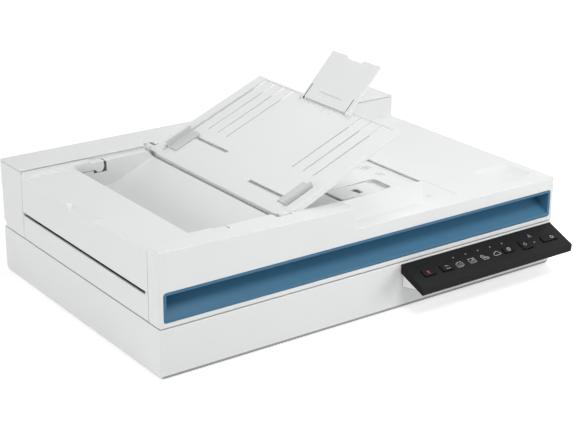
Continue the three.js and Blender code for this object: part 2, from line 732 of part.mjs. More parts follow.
// Lid
function wallTopAt(x) {
  return lid.wallLeftTop + ((lid.wallRightTop - lid.wallLeftTop) * x) / lid.wallEnd;
}

function lidCover() {
  const outer = prism("z", lidLow, lid.top, roundRect(0, WIDTH, 0, DEPTH, tub.corner));
  const bar = block(0, WIDTH, lid.barFront, DEPTH, lid.top - WALL, barHeight - lid.capSeam);
  const barLeft = block(0, lid.feederEnd, lid.feederBack, lid.barFront, lid.top - WALL, cover.edge);
  const leftWall = prism("y", 0, lid.wallDepth, [
    [0, lid.top - WALL],
    [lid.wallEnd, lid.top - WALL],
    [lid.wallEnd, lid.wallRightTop],
    [0, lid.wallLeftTop],
  ]);
  const rightWall = prism("y", 0, lid.wallDepthRight, [
    [lid.feederEnd, lid.top - WALL],
    [lid.wallEnd, lid.top - WALL],
    [lid.wallEnd, lid.wallRightTop],
    [lid.feederEnd, wallTopAt(lid.feederEnd)],
  ]);
  const halfway = (lid.top + fence.top) / 2;
  const fenceWall = prism("x", lid.wallEnd - WALL, fence.right, [
    [fence.foot, lid.top - WALL],
    [fence.foot, lid.top],
    [(fence.foot + fence.lean) / 2 + fence.bow / 2, halfway],
    [fence.lean, fence.top],
    [lid.wallDepthRight, fence.top],
    [lid.wallDepthRight, lid.top - WALL],
  ]);
  const filletSteps = Array.from({ length: ARC_STEPS + 1 }, (_, i) => {
    const angle = ((Math.PI / 2) * i) / ARC_STEPS;
    return [
      lid.barFront - lid.fillet * (1 - Math.sin(angle)),
      lid.top + lid.fillet * (1 - Math.cos(angle)),
    ];
  });
  const fillet = prism("x", bay.right, WIDTH, [
    ...filletSteps,
    [lid.barFront + WALL, lid.top + lid.fillet],
    [lid.barFront + WALL, lid.top - WALL],
    [lid.barFront - lid.fillet, lid.top - WALL],
  ]);
  const whole = join(outer, bar, barLeft, leftWall, rightWall, fenceWall, fillet);

  const chamferOut = prism("x", -OVER, WIDTH + OVER, [
    [DEPTH - lid.chamfer - OVER, lidLow - OVER],
    [DEPTH + OVER, lidLow - OVER],
    [DEPTH + OVER, lidLow + lid.chamfer + OVER],
  ]);
  const inset = WALL * Math.SQRT2;
  const cavity = prism("x", WALL, WIDTH - WALL, [
    [WALL, lidLow - OVER],
    [DEPTH - lid.chamfer - inset, lidLow - OVER],
    [DEPTH - lid.chamfer - inset, lidLow],
    [DEPTH - WALL, lidLow + lid.chamfer + inset - WALL],
    [DEPTH - WALL, lid.top - WALL],
    [WALL, lid.top - WALL],
  ]);
  const wallHollow = (from, to, back) =>
    prism("y", WALL, back - WALL, [
      [from, lid.top - WALL - OVER],
      [to, lid.top - WALL - OVER],
      [to, wallTopAt(to) - WALL],
      [from, wallTopAt(from) - WALL],
    ]);
  const barHollow = block(
    WALL, WIDTH - WALL, lid.barFront + WALL, DEPTH - WALL, lid.top - WALL - OVER,
    barHeight - lid.capSeam - WALL,
  );
  const feederHole = block(
    -OVER, lid.feederEnd, lid.wallDepth, lid.feederBack, lidLow - OVER, lid.barTop + OVER,
  );
  const bayHole = prism("z", lid.top - WALL - OVER, lid.barTop + OVER, [
    [lid.feederEnd - OVER, lid.wallDepthRight],
    [fence.right, lid.wallDepthRight],
    [fence.right, bay.cornerFront],
    [bay.right, bay.cornerFront],
    [bay.right, lid.barFront],
    [lid.feederEnd, lid.barFront],
    [lid.feederEnd, lid.feederBack],
    [lid.feederEnd - OVER, lid.feederBack],
  ]);
  const gripHole = prism(
    "y", -OVER, WALL + OVER, roundRect(grip.left, grip.right, grip.low, grip.high, grip.turn),
  );
  const postNotches = postPlaces().map((x) =>
    block(
      x - 2 * GAP - leaf.thick, x + post.width + 2 * GAP + leaf.thick, post.y - post.eye - GAP,
      DEPTH + OVER,
      lidLow - OVER, post.axis + post.eye + 2 * GAP,
    ),
  );
  const shell = cut(
    whole, chamferOut, cavity, wallHollow(WALL, lid.feederEnd + WALL, lid.wallDepth),
    wallHollow(lid.feederEnd, lid.wallEnd - WALL, lid.wallDepthRight), barHollow,
  );
  const skins = [
    block(WALL / 2, lid.feederEnd, lid.wallDepth - WALL, lid.wallDepth, lid.frontSkin, lid.top),
    block(
      WALL / 2, lid.feederEnd, lid.feederBack, lid.feederBack + WALL, lidLow + plate.thick + GAP, lid.top,
    ),
  ];
  const cup = dimpleCup();
  const inlayCut = block(
    fence.right, bay.right + inlay.past, inlay.front, bay.cornerFront + SEAT, lid.top - inlay.deep,
    lid.top + OVER,
  );
  const coverPins = round(
    "y", lid.wallDepth - 2 * WALL, lid.feederBack + 2 * WALL, cover.hingeX, cover.hingeZ, cover.pin + RUN,
    HOLE_SIDES,
  );
  const trayPins = round(
    "y", tray.front - tray.frontKnuckleOut - tray.pinLength - RUN,
    tray.back + tray.knuckleOut + tray.pinLength + RUN,
    tray.pivotX, tray.pivotZ, tray.pin + RUN, HOLE_SIDES,
  );
  const knuckleRoom = tray.knuckle + tray.cutAround;
  const knuckleCuts = round(
    "y", tray.front - tray.frontKnuckleOut - tray.cutAround, tray.back + tray.knuckleOut + tray.cutAround,
    tray.pivotX, tray.pivotZ, knuckleRoom,
  );
  const knuckleSlots = block(
    tray.pivotX - knuckleRoom, tray.pivotX + knuckleRoom,
    tray.front - tray.frontKnuckleOut - tray.cutAround,
    tray.back + tray.knuckleOut + tray.cutAround, tray.pivotZ, lid.barTop + OVER,
  );
  const knuckleWalls = [
    block(
      tray.pivotX - knuckleRoom - WALL, tray.pivotX + knuckleRoom + WALL, lid.barFront,
      tray.back + tray.knuckleOut + tray.pinLength + WALL,
      tray.pivotZ - knuckleRoom - WALL, barHeight - lid.capSeam - WALL / 2,
    ),
    block(
      tray.pivotX - knuckleRoom - WALL, tray.pivotX + knuckleRoom + WALL,
      tray.front - tray.frontKnuckleOut - tray.pinLength - WALL,
      lid.wallDepthRight, tray.pivotZ - knuckleRoom - WALL,
      wallTopAt(tray.pivotX + knuckleRoom + WALL) - WALL / 2,
    ),
  ];
  const motorHole = round(
    "y", lid.feederBack - OVER, lid.barFront + 2 * WALL, shafts.pinion.x, shafts.pinion.z, drive.shaft * 2,
  );
  const holes = [feederHole, bayHole, gripHole, ...postNotches, motorHole];
  const dressed = join(cut(join(shell, ...skins), ...holes), ...knuckleWalls);
  const finished = cut(
    join(dressed, cup.outer), cup.inner, inlayCut, coverPins, trayPins, knuckleCuts, knuckleSlots,
  );
  return piece("lid_cover", finished, finishes.white);
}

// The shallow dish in the lid's top and the skin under it.
function dimpleCup() {
  const ring = (z, inset, radius) => ({
    z,
    points: roundRect(
      dimple.right - dimple.width + inset, dimple.right - inset, dimple.front + inset, dimple.back - inset,
      radius,
    ),
  });
  const floor = lid.top - dimple.deep;
  const inner = stack([
    ring(floor, dimple.draft, dimple.turn - dimple.wall),
    ring(lid.top, 0, dimple.turn),
    ring(lid.top + OVER, 0, dimple.turn),
  ]);
  const outer = stack([
    ring(floor - dimple.wall, dimple.draft - dimple.wall, dimple.turn - dimple.wall),
    ring(lid.top - WALL / 2, -dimple.wall, dimple.turn),
  ]);
  return { inner, outer };
}

function rearBarCap() {
  const low = barHeight;
  const sheet = prism("z", low, lid.barTop, roundRect(0, WIDTH, lid.barFront, DEPTH, tub.corner / 2));
  const knuckleRoom = tray.knuckle + tray.cutAround;
  const knuckleSlot = block(
    tray.pivotX - knuckleRoom, tray.pivotX + knuckleRoom, lid.barFront - OVER,
    tray.back + tray.knuckleOut + tray.cutAround,
    low - OVER, lid.barTop + OVER,
  );
  return piece("rear_bar_cap", cut(sheet, knuckleSlot), finishes.white);
}

function fingerGrip() {
  const { left, right, low, high, turn, rim, deep, ridge, skin } = grip;
  const x0 = left + SEAT;
  const x1 = right - SEAT;
  const z0 = low + SEAT;
  const z1 = high - SEAT;
  const ridgeZ = high - ridge;
  const body = prism("x", x0, x1, [
    [SEAT, z0],
    [skin, z0],
    [deep + skin, ridgeZ - skin],
    [deep + skin, ridgeZ + skin],
    [skin, z1],
    [SEAT, z1],
  ]);
  const frame = prism("y", SEAT - OVER, deep + skin + OVER, roundRect(x0, x1, z0, z1, turn - SEAT));
  const slope = (ridgeZ - low - rim) / deep;
  const slopeTop = (high - rim - ridgeZ) / deep;
  const groove = prism("x", x0 + rim, x1 - rim, [
    [-OVER, low + rim - OVER * slope],
    [deep, ridgeZ],
    [-OVER, high - rim + OVER * slopeTop],
  ]);
  return piece("finger_grip", cut(body.intersect(frame), groove), finishes.blue);
}

function lidFrame() {
  const back = DEPTH - lid.chamfer - WALL * Math.SQRT2 - SEAT;
  const sheet = block(WALL + SEAT, WIDTH - WALL - SEAT, WALL + SEAT, back, lidLow, lidLow + plate.thick);
  const window = block(
    plate.slotLeft, plate.slotRight, plate.slotFront, plate.slotBack, lidLow - OVER,
    lidLow + plate.thick + OVER,
  );
  const notches = postPlaces().map((x) =>
    block(
      x - 2 * GAP, x + post.width + 2 * GAP, post.y - post.eye - 2 * GAP, DEPTH, lidLow - OVER,
      lidLow + plate.thick + OVER,
    ),
  );
  return piece("lid_frame", cut(sheet, window, ...notches), finishes.paleGrey);
}

function lidPad() {
  const { left, right, front, back } = platen;
  const shape = block(
    left + pad.inset, right - pad.inset, front + pad.inset, back - pad.inset, pad.low, lidLow - SEAT,
  );
  return piece("lid_pad", shape, finishes.foam);
}

const bayFloorAt = (x) =>
  bay.lowLeft + ((bay.lowRight - bay.lowLeft) * (x - bay.left)) / (bay.right - bay.left);

function outputBay() {
  const right = bay.right + bay.tuck;
  const front = lid.wallDepthRight + SEAT;
  const back = lid.barFront - SEAT;
  const top = lid.top - WALL - SEAT;
  const plan = [
    [bay.left, front],
    [fence.right, front],
    [fence.right, bay.cornerFront + SEAT],
    [right, bay.cornerFront + SEAT],
    [right, back],
    [bay.left, back],
  ];
  const planInner = [
    [bay.left - OVER, front + bay.wall],
    [fence.right - bay.wall, front + bay.wall],
    [fence.right - bay.wall, bay.cornerFront + SEAT + bay.wall],
    [right + OVER, bay.cornerFront + SEAT + bay.wall],
    [right + OVER, back - bay.wall],
    [bay.left - OVER, back - bay.wall],
  ];
  const low = bay.lowLeft - bay.thick;
  const column = prism("z", low, top, plan);
  const space = prism("z", low, top + OVER, planInner);
  const belowFloor = prism("y", 0, DEPTH, [
    [bay.left - OVER, bayFloorAt(bay.left - OVER) - 2 * OVER],
    [right + OVER, bayFloorAt(bay.left) - 2 * OVER],
    [right + OVER, bayFloorAt(right + OVER)],
    [bay.left - OVER, bayFloorAt(bay.left - OVER)],
  ]);
  const underside = prism("y", 0, DEPTH, [
    [bay.left - OVER, low - OVER],
    [right + OVER, low - OVER],
    [right + OVER, bayFloorAt(right + OVER) - bay.thick],
    [bay.left - OVER, bayFloorAt(bay.left - OVER) - bay.thick],
  ]);
  const hollow = cut(space, belowFloor);
  const shell = cut(column, hollow, underside);
  const pocketLow = stopTop() - flap.deep;
  const pocketOutline = (grow) =>
    roundRect(
      flap.pocketLeft - grow, flap.pocketRight + grow, flap.front - flap.side - grow,
      flap.back + flap.side + grow,
      flap.pocketTurn,
    );
  const pocketSkin = prism(
    "z", pocketLow - flap.pocketFloor, stopTop() - flap.thick / 2, pocketOutline(bay.wall),
  );
  const pocket = prism("z", pocketLow, top + OVER, pocketOutline(0));
  const bearing = stopAxle(flap.axle + RUN, GAP);
  return piece("output_bay", cut(join(shell, pocketSkin), pocket, bearing), finishes.white);
}

const stopTop = () => bayFloorAt((flap.left + flap.right) / 2) - GAP;

// The output stop's axle, or the hole for it when it is made thicker and longer.
function stopAxle(radius, longer) {
  const reach = flap.side + flap.axleIn + longer;
  const z = stopTop() - flap.thick / 2;
  return round(
    "y", flap.front - reach, flap.back + reach, flap.right - flap.thick / 2, z, radius, HOLE_SIDES / 2,
  );
}

function outputStop() {
  const top = stopTop();
  const low = top - flap.thick;
  const sheet = prism("z", low, top, roundRect(flap.left, flap.right, flap.front, flap.back, flap.corner));
  const hole = block(flap.holeLeft, flap.holeRight, flap.holeFront, flap.holeBack, low - OVER, top + OVER);
  return piece("output_stop", join(cut(sheet, hole), stopAxle(flap.axle, 0)), finishes.white);
}

// Feeder
const rad = THREE.MathUtils.degToRad;
const pitchRadius = (count) => (gear.module * count) / 2;

// Where each shaft stands, worked out along the gear train from the feed roller's shaft.
function shaftPlaces() {
  const from = (start, distance, degrees) => ({
    x: start.x + distance * Math.cos(rad(degrees)),
    z: start.z + distance * Math.sin(rad(degrees)),
  });
  const feedShaft = { x: train.feedX, z: train.feedZ };
  const idler = from(feedShaft, pitchRadius(teeth.feed) + pitchRadius(teeth.idler), train.slope);
  const pinion = from(idler, pitchRadius(teeth.idler) + pitchRadius(teeth.pinion), train.slope);
  const exit = from(pinion, pitchRadius(teeth.pinion) + pitchRadius(teeth.exit), -train.exitSlope);
  const pick = from(feedShaft, pitchRadius(teeth.feed) + pitchRadius(teeth.pick), 90 - train.pickLean);
  const pinch = { x: exit.x, z: exit.z + roller.exit + roller.nip + roller.pinch };
  return { feed: feedShaft, idler, pinion, exit, pick, pinch };
}
const shafts = shaftPlaces();

// The angle of a wheel's first tooth that sets it in mesh with its neighbour's first tooth.
function meshAngle(driver, driverCount, driverFirst, driven, drivenCount) {
  const toward = THREE.MathUtils.radToDeg(Math.atan2(driven.z - driver.z, driven.x - driver.x));
  const driverPhase = (toward - driverFirst) / (360 / driverCount);
  const share = driverPhase - Math.floor(driverPhase);
  return toward + 180 + (share + train.halfTooth) * (360 / drivenCount);
}

function gearFirstTeeth() {
  const feedFirst = 0;
  const idler = meshAngle(shafts.feed, teeth.feed, feedFirst, shafts.idler, teeth.idler);
  const pinion = meshAngle(shafts.idler, teeth.idler, idler, shafts.pinion, teeth.pinion);
  const exit = meshAngle(shafts.pinion, teeth.pinion, pinion, shafts.exit, teeth.exit);
  const pick = meshAngle(shafts.feed, teeth.feed, feedFirst, shafts.pick, teeth.pick);
  return { feed: feedFirst, idler, pinion, exit, pick };
}
const firstTeeth = gearFirstTeeth();

function gearWheel(key) {
  const { x, z } = shafts[key];
  return prism("y", gear.y, gear.y + gear.thick, toothed(x, z, teeth[key], gear.module, firstTeeth[key]));
}

function feederFrame() {
  const inner = { front: cover.rimFront, back: cover.rimBack };
  const low = lidLow + plate.thick + SEAT;
  const wallOutline = [
    [feed.left, low],
    [feed.right, low],
    [feed.right, feed.chuteTopZ - feed.sheet],
    [feed.ledgeEnd, feed.wallTop],
    [feed.lipEnd, feed.wallTop],
    [feed.lipEnd, feed.lipLow],
    [feed.lowEnd, feed.lipLow],
    [feed.lowEnd, feed.stepTop],
    [feed.stepX, feed.stepTop],
    [feed.stepX, feed.lowTop],
    [feed.left, feed.lowTop],
  ];
  const walls = [
    prism("y", inner.front - feed.wall, inner.front, wallOutline),
    prism("y", inner.back, inner.back + feed.wall, wallOutline),
  ];
  const ledges = [
    block(feed.lowEnd, feed.ledgeEnd, cover.front, inner.front, feed.wallTop - feed.ledge, feed.wallTop),
    block(feed.lowEnd, feed.ledgeEnd, inner.back, cover.back, feed.wallTop - feed.ledge, feed.wallTop),
    block(feed.lipEnd, feed.ledgeEnd, cover.front, inner.front, feed.lipLow, feed.wallTop),
    block(feed.lipEnd, feed.ledgeEnd, inner.back, cover.back, feed.lipLow, feed.wallTop),
  ];
  const overlap = feed.wall / 2;
  const y0 = inner.front - overlap;
  const y1 = inner.back + overlap;
  const chute = bentSheet(
    [[feed.chuteEndX, feed.chuteEndZ], [feed.bendX, feed.bendZ], [feed.chuteTopX, feed.chuteTopZ]],
    feed.sheet, y0, y1,
  );
  const exitSheet = bentSheet(
    [[feed.exitLeftX, feed.exitLeftZ], [feed.exitRightX, feed.exitRightZ]], feed.sheet, y0, y1,
  );
  const rightWall = block(feed.right - feed.wall, feed.right, y0, y1, low, feed.chuteTopZ - feed.sheet);
  const mouth = block(
    feed.right - feed.wall - OVER, feed.right + OVER, roller.exitFront - OVER, roller.exitBack + OVER,
    feed.mouthLow, feed.mouthHigh,
  );
  const holes = [
    ["feed", roller.shaft],
    ["pick", roller.pickShaft],
    ["exit", roller.exitShaft],
    ["pinch", roller.pinchShaft],
  ].map(([key, radius]) =>
    round(
      "y", roller.front - OVER, roller.back + OVER, shafts[key].x, shafts[key].z, radius + RUN, HOLE_SIDES,
    ),
  );
  const stub = round(
    "y", inner.back, gear.y + gear.thick + GAP, shafts.idler.x, shafts.idler.z, roller.stub, HOLE_SIDES,
  );
  const built = join(cut(join(...walls, chute, exitSheet, rightWall), mouth, ...holes), ...ledges, stub);
  return piece("feeder_frame", built, finishes.innerGrey);
}

function arcSheet(centre, radius, thickness, from, to, steps, y0, y1) {
  const at = (r, i) => {
    const angle = rad(from + ((to - from) * i) / steps);
    return [centre.x + r * Math.cos(angle), centre.z + r * Math.sin(angle)];
  };
  const inside = Array.from({ length: steps + 1 }, (_, i) => at(radius, i));
  const outside = Array.from({ length: steps + 1 }, (_, i) => at(radius + thickness, steps - i));
  return prism("y", y0, y1, [...inside, ...outside]);
}

function sidePanel() {
  const skin = cover.skin;
  const low = lidLow + SEAT;
  const sheet = block(0, skin, cover.front, cover.back, low, slot.low);
  const tabs = [
    block(0, skin, cover.front, slot.front, low, cover.low - GAP),
    block(0, skin, slot.back, cover.back, low, cover.low - GAP),
  ];
  const y0 = cover.rimFront + GAP;
  const y1 = cover.rimBack - GAP;
  const guideSheet = arcSheet(shafts.feed, turn.inner, turn.thick, turn.from, turn.to, turn.steps, y0, y1);
  const rib = block(
    skin / 2, shafts.feed.x - turn.inner - turn.thick / 2, y0, y1, shafts.feed.z - turn.rib, shafts.feed.z,
  );
  return piece("side_panel", join(sheet, ...tabs, guideSheet, rib), finishes.white);
}

function rollers() {
  const shaft = (key, radius, extra, back = roller.back) => {
    const { x, z } = shafts[key];
    return join(round("y", roller.front, back, x, z, radius, HOLE_SIDES), ...extra);
  };
  const tyre = (key, outer, inner, y0, y1) => {
    const { x, z } = shafts[key];
    const ring = round("y", y0, y1, x, z, outer, ROUND_SIDES + HOLE_SIDES / 2);
    return cut(ring, round("y", y0 - OVER, y1 + OVER, x, z, inner + SEAT, HOLE_SIDES));
  };
  const exitTyres = [roller.exitFront, (roller.exitFront + roller.exitBack) / 2, roller.exitBack].map((y) =>
    round("y", y - roller.exit, y + roller.exit, shafts.exit.x, shafts.exit.z, roller.exit),
  );
  const pinchPlaces = [roller.exitFront, (roller.exitFront + roller.exitBack) / 2, roller.exitBack];
  const pinchTyres = pinchPlaces.map((y) =>
    round("y", y - roller.exit, y + roller.exit, shafts.pinch.x, shafts.pinch.z, roller.pinch),
  );
  const idlerHole = round(
    "y", gear.y - OVER, gear.y + gear.thick + OVER, shafts.idler.x, shafts.idler.z, roller.stub + RUN,
    HOLE_SIDES,
  );
  const pinionShaft = round(
    "y", gear.y, drive.front - GAP, shafts.pinion.x, shafts.pinion.z, drive.shaft, HOLE_SIDES,
  );
  return {
    feed: [
      piece("feed_shaft", shaft("feed", roller.shaft, [gearWheel("feed")]), finishes.gear),
      piece(
        "feed_roller", tyre("feed", roller.feed, roller.shaft, roller.feedFront, roller.feedBack),
        finishes.rubber,
      ),
    ],
    pick: [
      piece("pick_shaft", shaft("pick", roller.pickShaft, [gearWheel("pick")]), finishes.gear),
      piece(
        "pick_roller", tyre("pick", roller.pick, roller.pickShaft, roller.pickFront, roller.pickBack),
        finishes.rubber,
      ),
    ],
    exit: [
      piece(
        "exit_roller", shaft("exit", roller.exitShaft, [gearWheel("exit"), ...exitTyres]),
        finishes.innerGrey,
      ),
    ],
    pinch: [
      piece(
        "pinch_roller", shaft("pinch", roller.pinchShaft, pinchTyres, roller.pinchBack), finishes.innerGrey,
      ),
    ],
    idler: [piece("idler_gear", cut(gearWheel("idler"), idlerHole), finishes.gear)],
    pinion: [piece("motor_pinion", join(gearWheel("pinion"), pinionShaft), finishes.steel)],
  };
}

function feederMotor() {
  const { x, z } = shafts.pinion;
  const can = round("y", drive.front, drive.back, x, z, drive.radius);
  const flange = block(
    x - drive.flangeWide, x + drive.flangeWide, drive.front - drive.flange, drive.front + drive.flange / 2,
    z - drive.radius, z + drive.radius,
  );
  const room = round("y", drive.front - OVER, drive.front, x, z, drive.shaft * 2, HOLE_SIDES);
  return piece("feeder_motor", join(can, cut(flange, room)), finishes.steel);
}

function duplexSensor() {
  const y0 = cover.rimFront + GAP;
  const y1 = cover.rimBack - GAP;
  const body = block(duplex.left, duplex.right, y0, y1, duplex.low, duplex.high);
  const mid = (duplex.left + duplex.right) / 2;
  const half = duplex.glass / 2;
  const window = block(mid - half, mid + half, y0 + OVER, y1 - OVER, duplex.low - OVER, duplex.low + GAP);
  return piece("duplex_sensor", cut(body, window), finishes.rubber);
}

function feederCover() {
  const { right, low, edge, top, rimTop, front, back, rimFront, rimBack, skin } = cover;
  const outline = (height) => [
    [0, low],
    [right, low],
    [right, height],
    [skin, height],
    [0, Math.min(height, edge)],
  ];
  const dish = prism("y", rimFront - skin / 2, rimBack + skin / 2, outline(top));
  const rims = [
    prism("y", front, rimFront, outline(rimTop)),
    prism("y", rimBack, back, outline(rimTop)),
  ];
  const dishHollow = block(skin, right + OVER, rimFront, rimBack, low - OVER, top - skin);
  const rimHollows = [
    block(skin, right + OVER, front - OVER, rimFront - skin, low - OVER, rimTop - skin),
    block(skin, right + OVER, rimBack + skin, back + OVER, low - OVER, rimTop - skin),
  ];
  const openEnds = [
    block(skin, right + OVER, front - OVER, rimFront, low - OVER, cover.armLow),
    block(skin, right + OVER, rimBack, back + OVER, low - OVER, cover.armLow),
  ];
  const shell = cut(join(dish, ...rims), dishHollow, ...rimHollows, ...openEnds);
  const armOutline = [
    [right - skin, cover.armLow],
    [cover.hingeX, cover.armLow],
    [cover.armEnd, cover.hingeZ],
    [cover.armEnd, rimTop - cover.stepDown],
    [cover.armStep, rimTop - cover.stepDown],
    [cover.armStep, rimTop],
    [right - skin, rimTop],
  ];
  const arms = [
    [front + GAP, rimFront - GAP],
    [rimBack + GAP, back - GAP],
  ].map(([y0, y1]) =>
    join(
      prism("y", y0, y1, armOutline),
      round("y", y0, y1, cover.hingeX, cover.hingeZ, cover.knuckle),
    ),
  );
  const pins = [
    round("y", lid.wallDepth - WALL, front + WALL, cover.hingeX, cover.hingeZ, cover.pin, HOLE_SIDES),
    round("y", back - WALL, lid.feederBack + WALL, cover.hingeX, cover.hingeZ, cover.pin, HOLE_SIDES),
  ];
  const finger = fingerNotch(0);
  const backing = fingerNotch(notch.around).intersect(block(0, right, front, back, low, top));
  const shape = cut(join(shell, ...arms, ...pins, backing), finger);
  return piece("feeder_cover", shape, finishes.white);
}

// The scooped finger notch in the cover's left top edge, grown all round by a wall.
function fingerNotch(grow) {
  const { front, back, draft, low, reach } = notch;
  const slope = (cover.edge - low) / reach;
  const topZ = cover.edge + OVER;
  const ring = (z, x1, inset) => ({
    z,
    points: [
      [-OVER, front + inset - grow],
      [x1 + grow, front + inset - grow],
      [x1 + grow, back - inset + grow],
      [-OVER, back - inset + grow],
    ],
  });
  return stack([
    ring(low - grow, 0, draft),
    ring(cover.edge, reach, 0),
    ring(topZ, reach + OVER / (slope * slope + 1), 0),
  ]);
}

// Input tray, in a frame whose origin is its hinge, x up the tray and z square to it
function inputTray() {
  const t = tray;
  const end = t.length;
  const border = prism("y", t.front, t.back, [
    [t.start, -t.low],
    [end * t.wedgeShare, -t.low],
    [end, t.top - t.endLow],
    [end, t.top],
    [t.start, t.top],
  ]);
  const floorTop = t.top - t.floor;
  const well = block(t.start - OVER, end - t.skirt, t.borderFront, t.borderBack, floorTop, t.top + OVER);
  const mouth = block(
    end - t.skirt - OVER, end + OVER, t.borderFront, t.borderBack, t.top - groove.deep, t.top + OVER,
  );
  const under = prism("y", t.front + t.skirt, t.back - t.skirt, [
    [t.skirt, -t.low - OVER],
    [end * t.wedgeShare, -t.low - OVER],
    [end - 2 * t.skirt - OVER, floorTop - t.thick],
    [t.skirt, floorTop - t.thick],
  ]);
  const grooves = grooveRuns().map(([y, from, to]) =>
    block(from, to, y - groove.width / 2, y + groove.width / 2, floorTop - groove.deep, t.top + OVER),
  );
  const mid = (t.front + t.back) / 2;
  const slotLength = guide.neck + guide.travel + guide.fromWall;
  const slots = [
    [guideUFront, guideFootY.front - guide.fromWall, guideFootY.front + slotLength],
    [guideURear, guideFootY.rear - slotLength, guideFootY.rear + guide.fromWall],
  ].map(([u, y0, y1]) =>
    block(
      u - guide.slotWide / 2, u + guide.slotWide / 2, y0, y1, floorTop - t.thick - OVER, floorTop + OVER,
    ),
  );
  const boss = round("z", -t.low + t.coverThick + SEAT, floorTop, guide.midU, mid, guide.boss, HOLE_SIDES);
  const knuckles = [
    round("y", t.front - t.frontKnuckleOut, t.front + t.skirt, 0, 0, t.knuckle),
    round("y", t.back - t.skirt, t.back + t.knuckleOut, 0, 0, t.knuckle),
    round("y", t.front - t.frontKnuckleOut - t.pinLength, t.front, 0, 0, t.pin, HOLE_SIDES),
    round("y", t.back, t.back + t.knuckleOut + t.pinLength, 0, 0, t.pin, HOLE_SIDES),
  ];
  const e = extender;
  const axleV = e.hingeV;
  const room = e.knuckle + GAP;
  const notches = [
    [e.front - e.earGap, e.front + e.frontArm + e.frontSlit],
    [e.back - e.backArm - e.backSlit, e.back + e.earGap],
  ].map(([y0, y1]) => block(hingeU - room, end + OVER, y0, y1, axleV - room, t.top + OVER));
  const ears = [
    [e.front - e.earGap - e.ear, e.front - e.earGap, e.front + e.frontArm / 2],
    [e.back + e.earGap, e.back + e.earGap + e.ear, e.back - e.backArm / 2],
  ].flatMap(([y0, y1, reach]) => [
    prism("y", y0, y1, [
      [hingeU - e.ear, floorTop],
      [hingeU + e.ear, floorTop],
      [hingeU + e.ear / 2, axleV + e.lift],
      [hingeU - e.ear / 2, axleV + e.lift],
    ]),
    round("y", Math.min(y0, reach), Math.max(y1, reach), hingeU, axleV, e.pin, HOLE_SIDES),
  ]);
  const shell = cut(border, well, mouth, under, ...grooves, ...notches);
  return piece("input_tray", join(cut(shell, ...slots), boss, ...knuckles, ...ears), finishes.white);
}

// Each groove in the tray's floor: its y, where it starts and where it ends. The long ones are evenly set out
// from beside the extender to the borders, and the short ones lead to the extender's foot.
function grooveRuns() {
  const t = tray;
  const mid = (t.borderFront + t.borderBack) / 2;
  const first = mid - extender.front + groove.clear;
  const pitch = (t.borderBack - mid - first) / groove.count;
  const end = t.length - groove.end;
  const long = Array.from({ length: groove.count }, (_, i) => first + pitch * i).flatMap((away) => [
    [mid - away, groove.start, end],
    [mid + away, groove.start, end],
  ]);
  const edges = [t.borderFront, t.borderBack].map((y) => [y, groove.edgeStart, end]);
  const inner = extender.back - extender.front - extender.frontArm - extender.backArm;
  const shortPitch = inner / (groove.shortCount + 2);
  const short = Array.from({ length: groove.shortCount }, (_, i) => [
    mid + shortPitch * (i - (groove.shortCount - 1) / 2), groove.shortStart, hingeU - extender.knuckle,
  ]);
  return [...long, ...edges, ...short];
}

const guideUFront = guide.midU - guideOffset();
const guideURear = guide.midU + guideOffset();
const guideFootY = {
  front: tray.borderFront + guide.fromWall + guide.footReach,
  rear: tray.borderBack - guide.fromWall - guide.footReach,
};

// How far each rack's neck runs from the pinion's axle.
function guideOffset() {
  return (guide.tooth * guide.pinionTeeth) / 2 + guide.tooth * gear.dedendum + guide.rack / 2;
}

function trayBottom() {
  const t = tray;
  const play = SEAT + GAP;
  const shape = block(
    t.skirt + play, t.coverEnd, t.front + t.skirt + play, t.back - t.skirt - play, -t.low,
    -t.low + t.coverThick,
  );
  return piece("tray_bottom", shape, finishes.paleGrey);
}

// A width guide: the upright and its foot on the tray, the neck through the slot, and the rack below.
function widthGuide(name, side) {
  const t = tray;
  const floorTop = t.top - t.floor;
  const edge = side > 0 ? t.borderFront + guide.fromWall : t.borderBack - guide.fromWall;
  const span = (a, b) => (side > 0 ? [edge + a, edge + b] : [edge - b, edge - a]);
  const [u0, u1] = [guide.u, guide.u + guide.length];
  const base = floorTop + RUN;
  const upright = block(u0, u1, ...span(0, guide.thick), base, base + guide.high);
  const sole = block(u0, u1, ...span(0, guide.footReach + guide.neck), base, base + guide.foot);
  const u = side > 0 ? guideUFront : guideURear;
  const rackTop = floorTop - t.thick - RUN;
  const neckHalf = guide.slotWide / 2 - GAP;
  const neck = block(
    u - neckHalf, u + neckHalf, ...span(guide.footReach, guide.footReach + guide.neck),
    rackTop - guide.rackThick, base + guide.foot,
  );
  const mid = (t.front + t.back) / 2;
  const far = Math.abs(mid - edge) + guide.rackReach;
  const rack = block(
    u - guide.rack / 2, u + guide.rack / 2, ...span(guide.footReach, far), rackTop - guide.rackThick,
    rackTop,
  );
  const pitch = Math.PI * guide.tooth;
  const count = Math.floor((far - guide.footReach - guide.neck) / pitch);
  const toothHeight = guide.tooth * (gear.addendum + gear.dedendum);
  const face = side > 0 ? u + guide.rack / 2 : u - guide.rack / 2;
  const nose = side > 0 ? toothHeight : -toothHeight;
  const wide = (pitch * gear.slackShare * (2 - gear.tipShare)) / 2;
  const slim = pitch * gear.slackShare * gear.tipShare;
  const lastTooth = Math.ceil((guide.rackReach - pitch) / pitch);
  const rackTeeth = Array.from({ length: count }, (_, i) => {
    const y = mid + side * pitch * (lastTooth - i + train.halfTooth);
    return [y, i];
  })
    .filter(([y]) => (y - edge) * side > guide.footReach + pitch)
    .filter(([y]) => (y - edge) * side < far - wide)
    .map(([y]) =>
      prism("z", rackTop - guide.rackThick, rackTop, [
        [face - side * guide.bite, y - wide],
        [face + nose, y - slim],
        [face + nose, y + slim],
        [face - side * guide.bite, y + wide],
      ]),
    );
  return piece(name, join(upright, sole, neck, rack, ...rackTeeth), finishes.paleGrey);
}

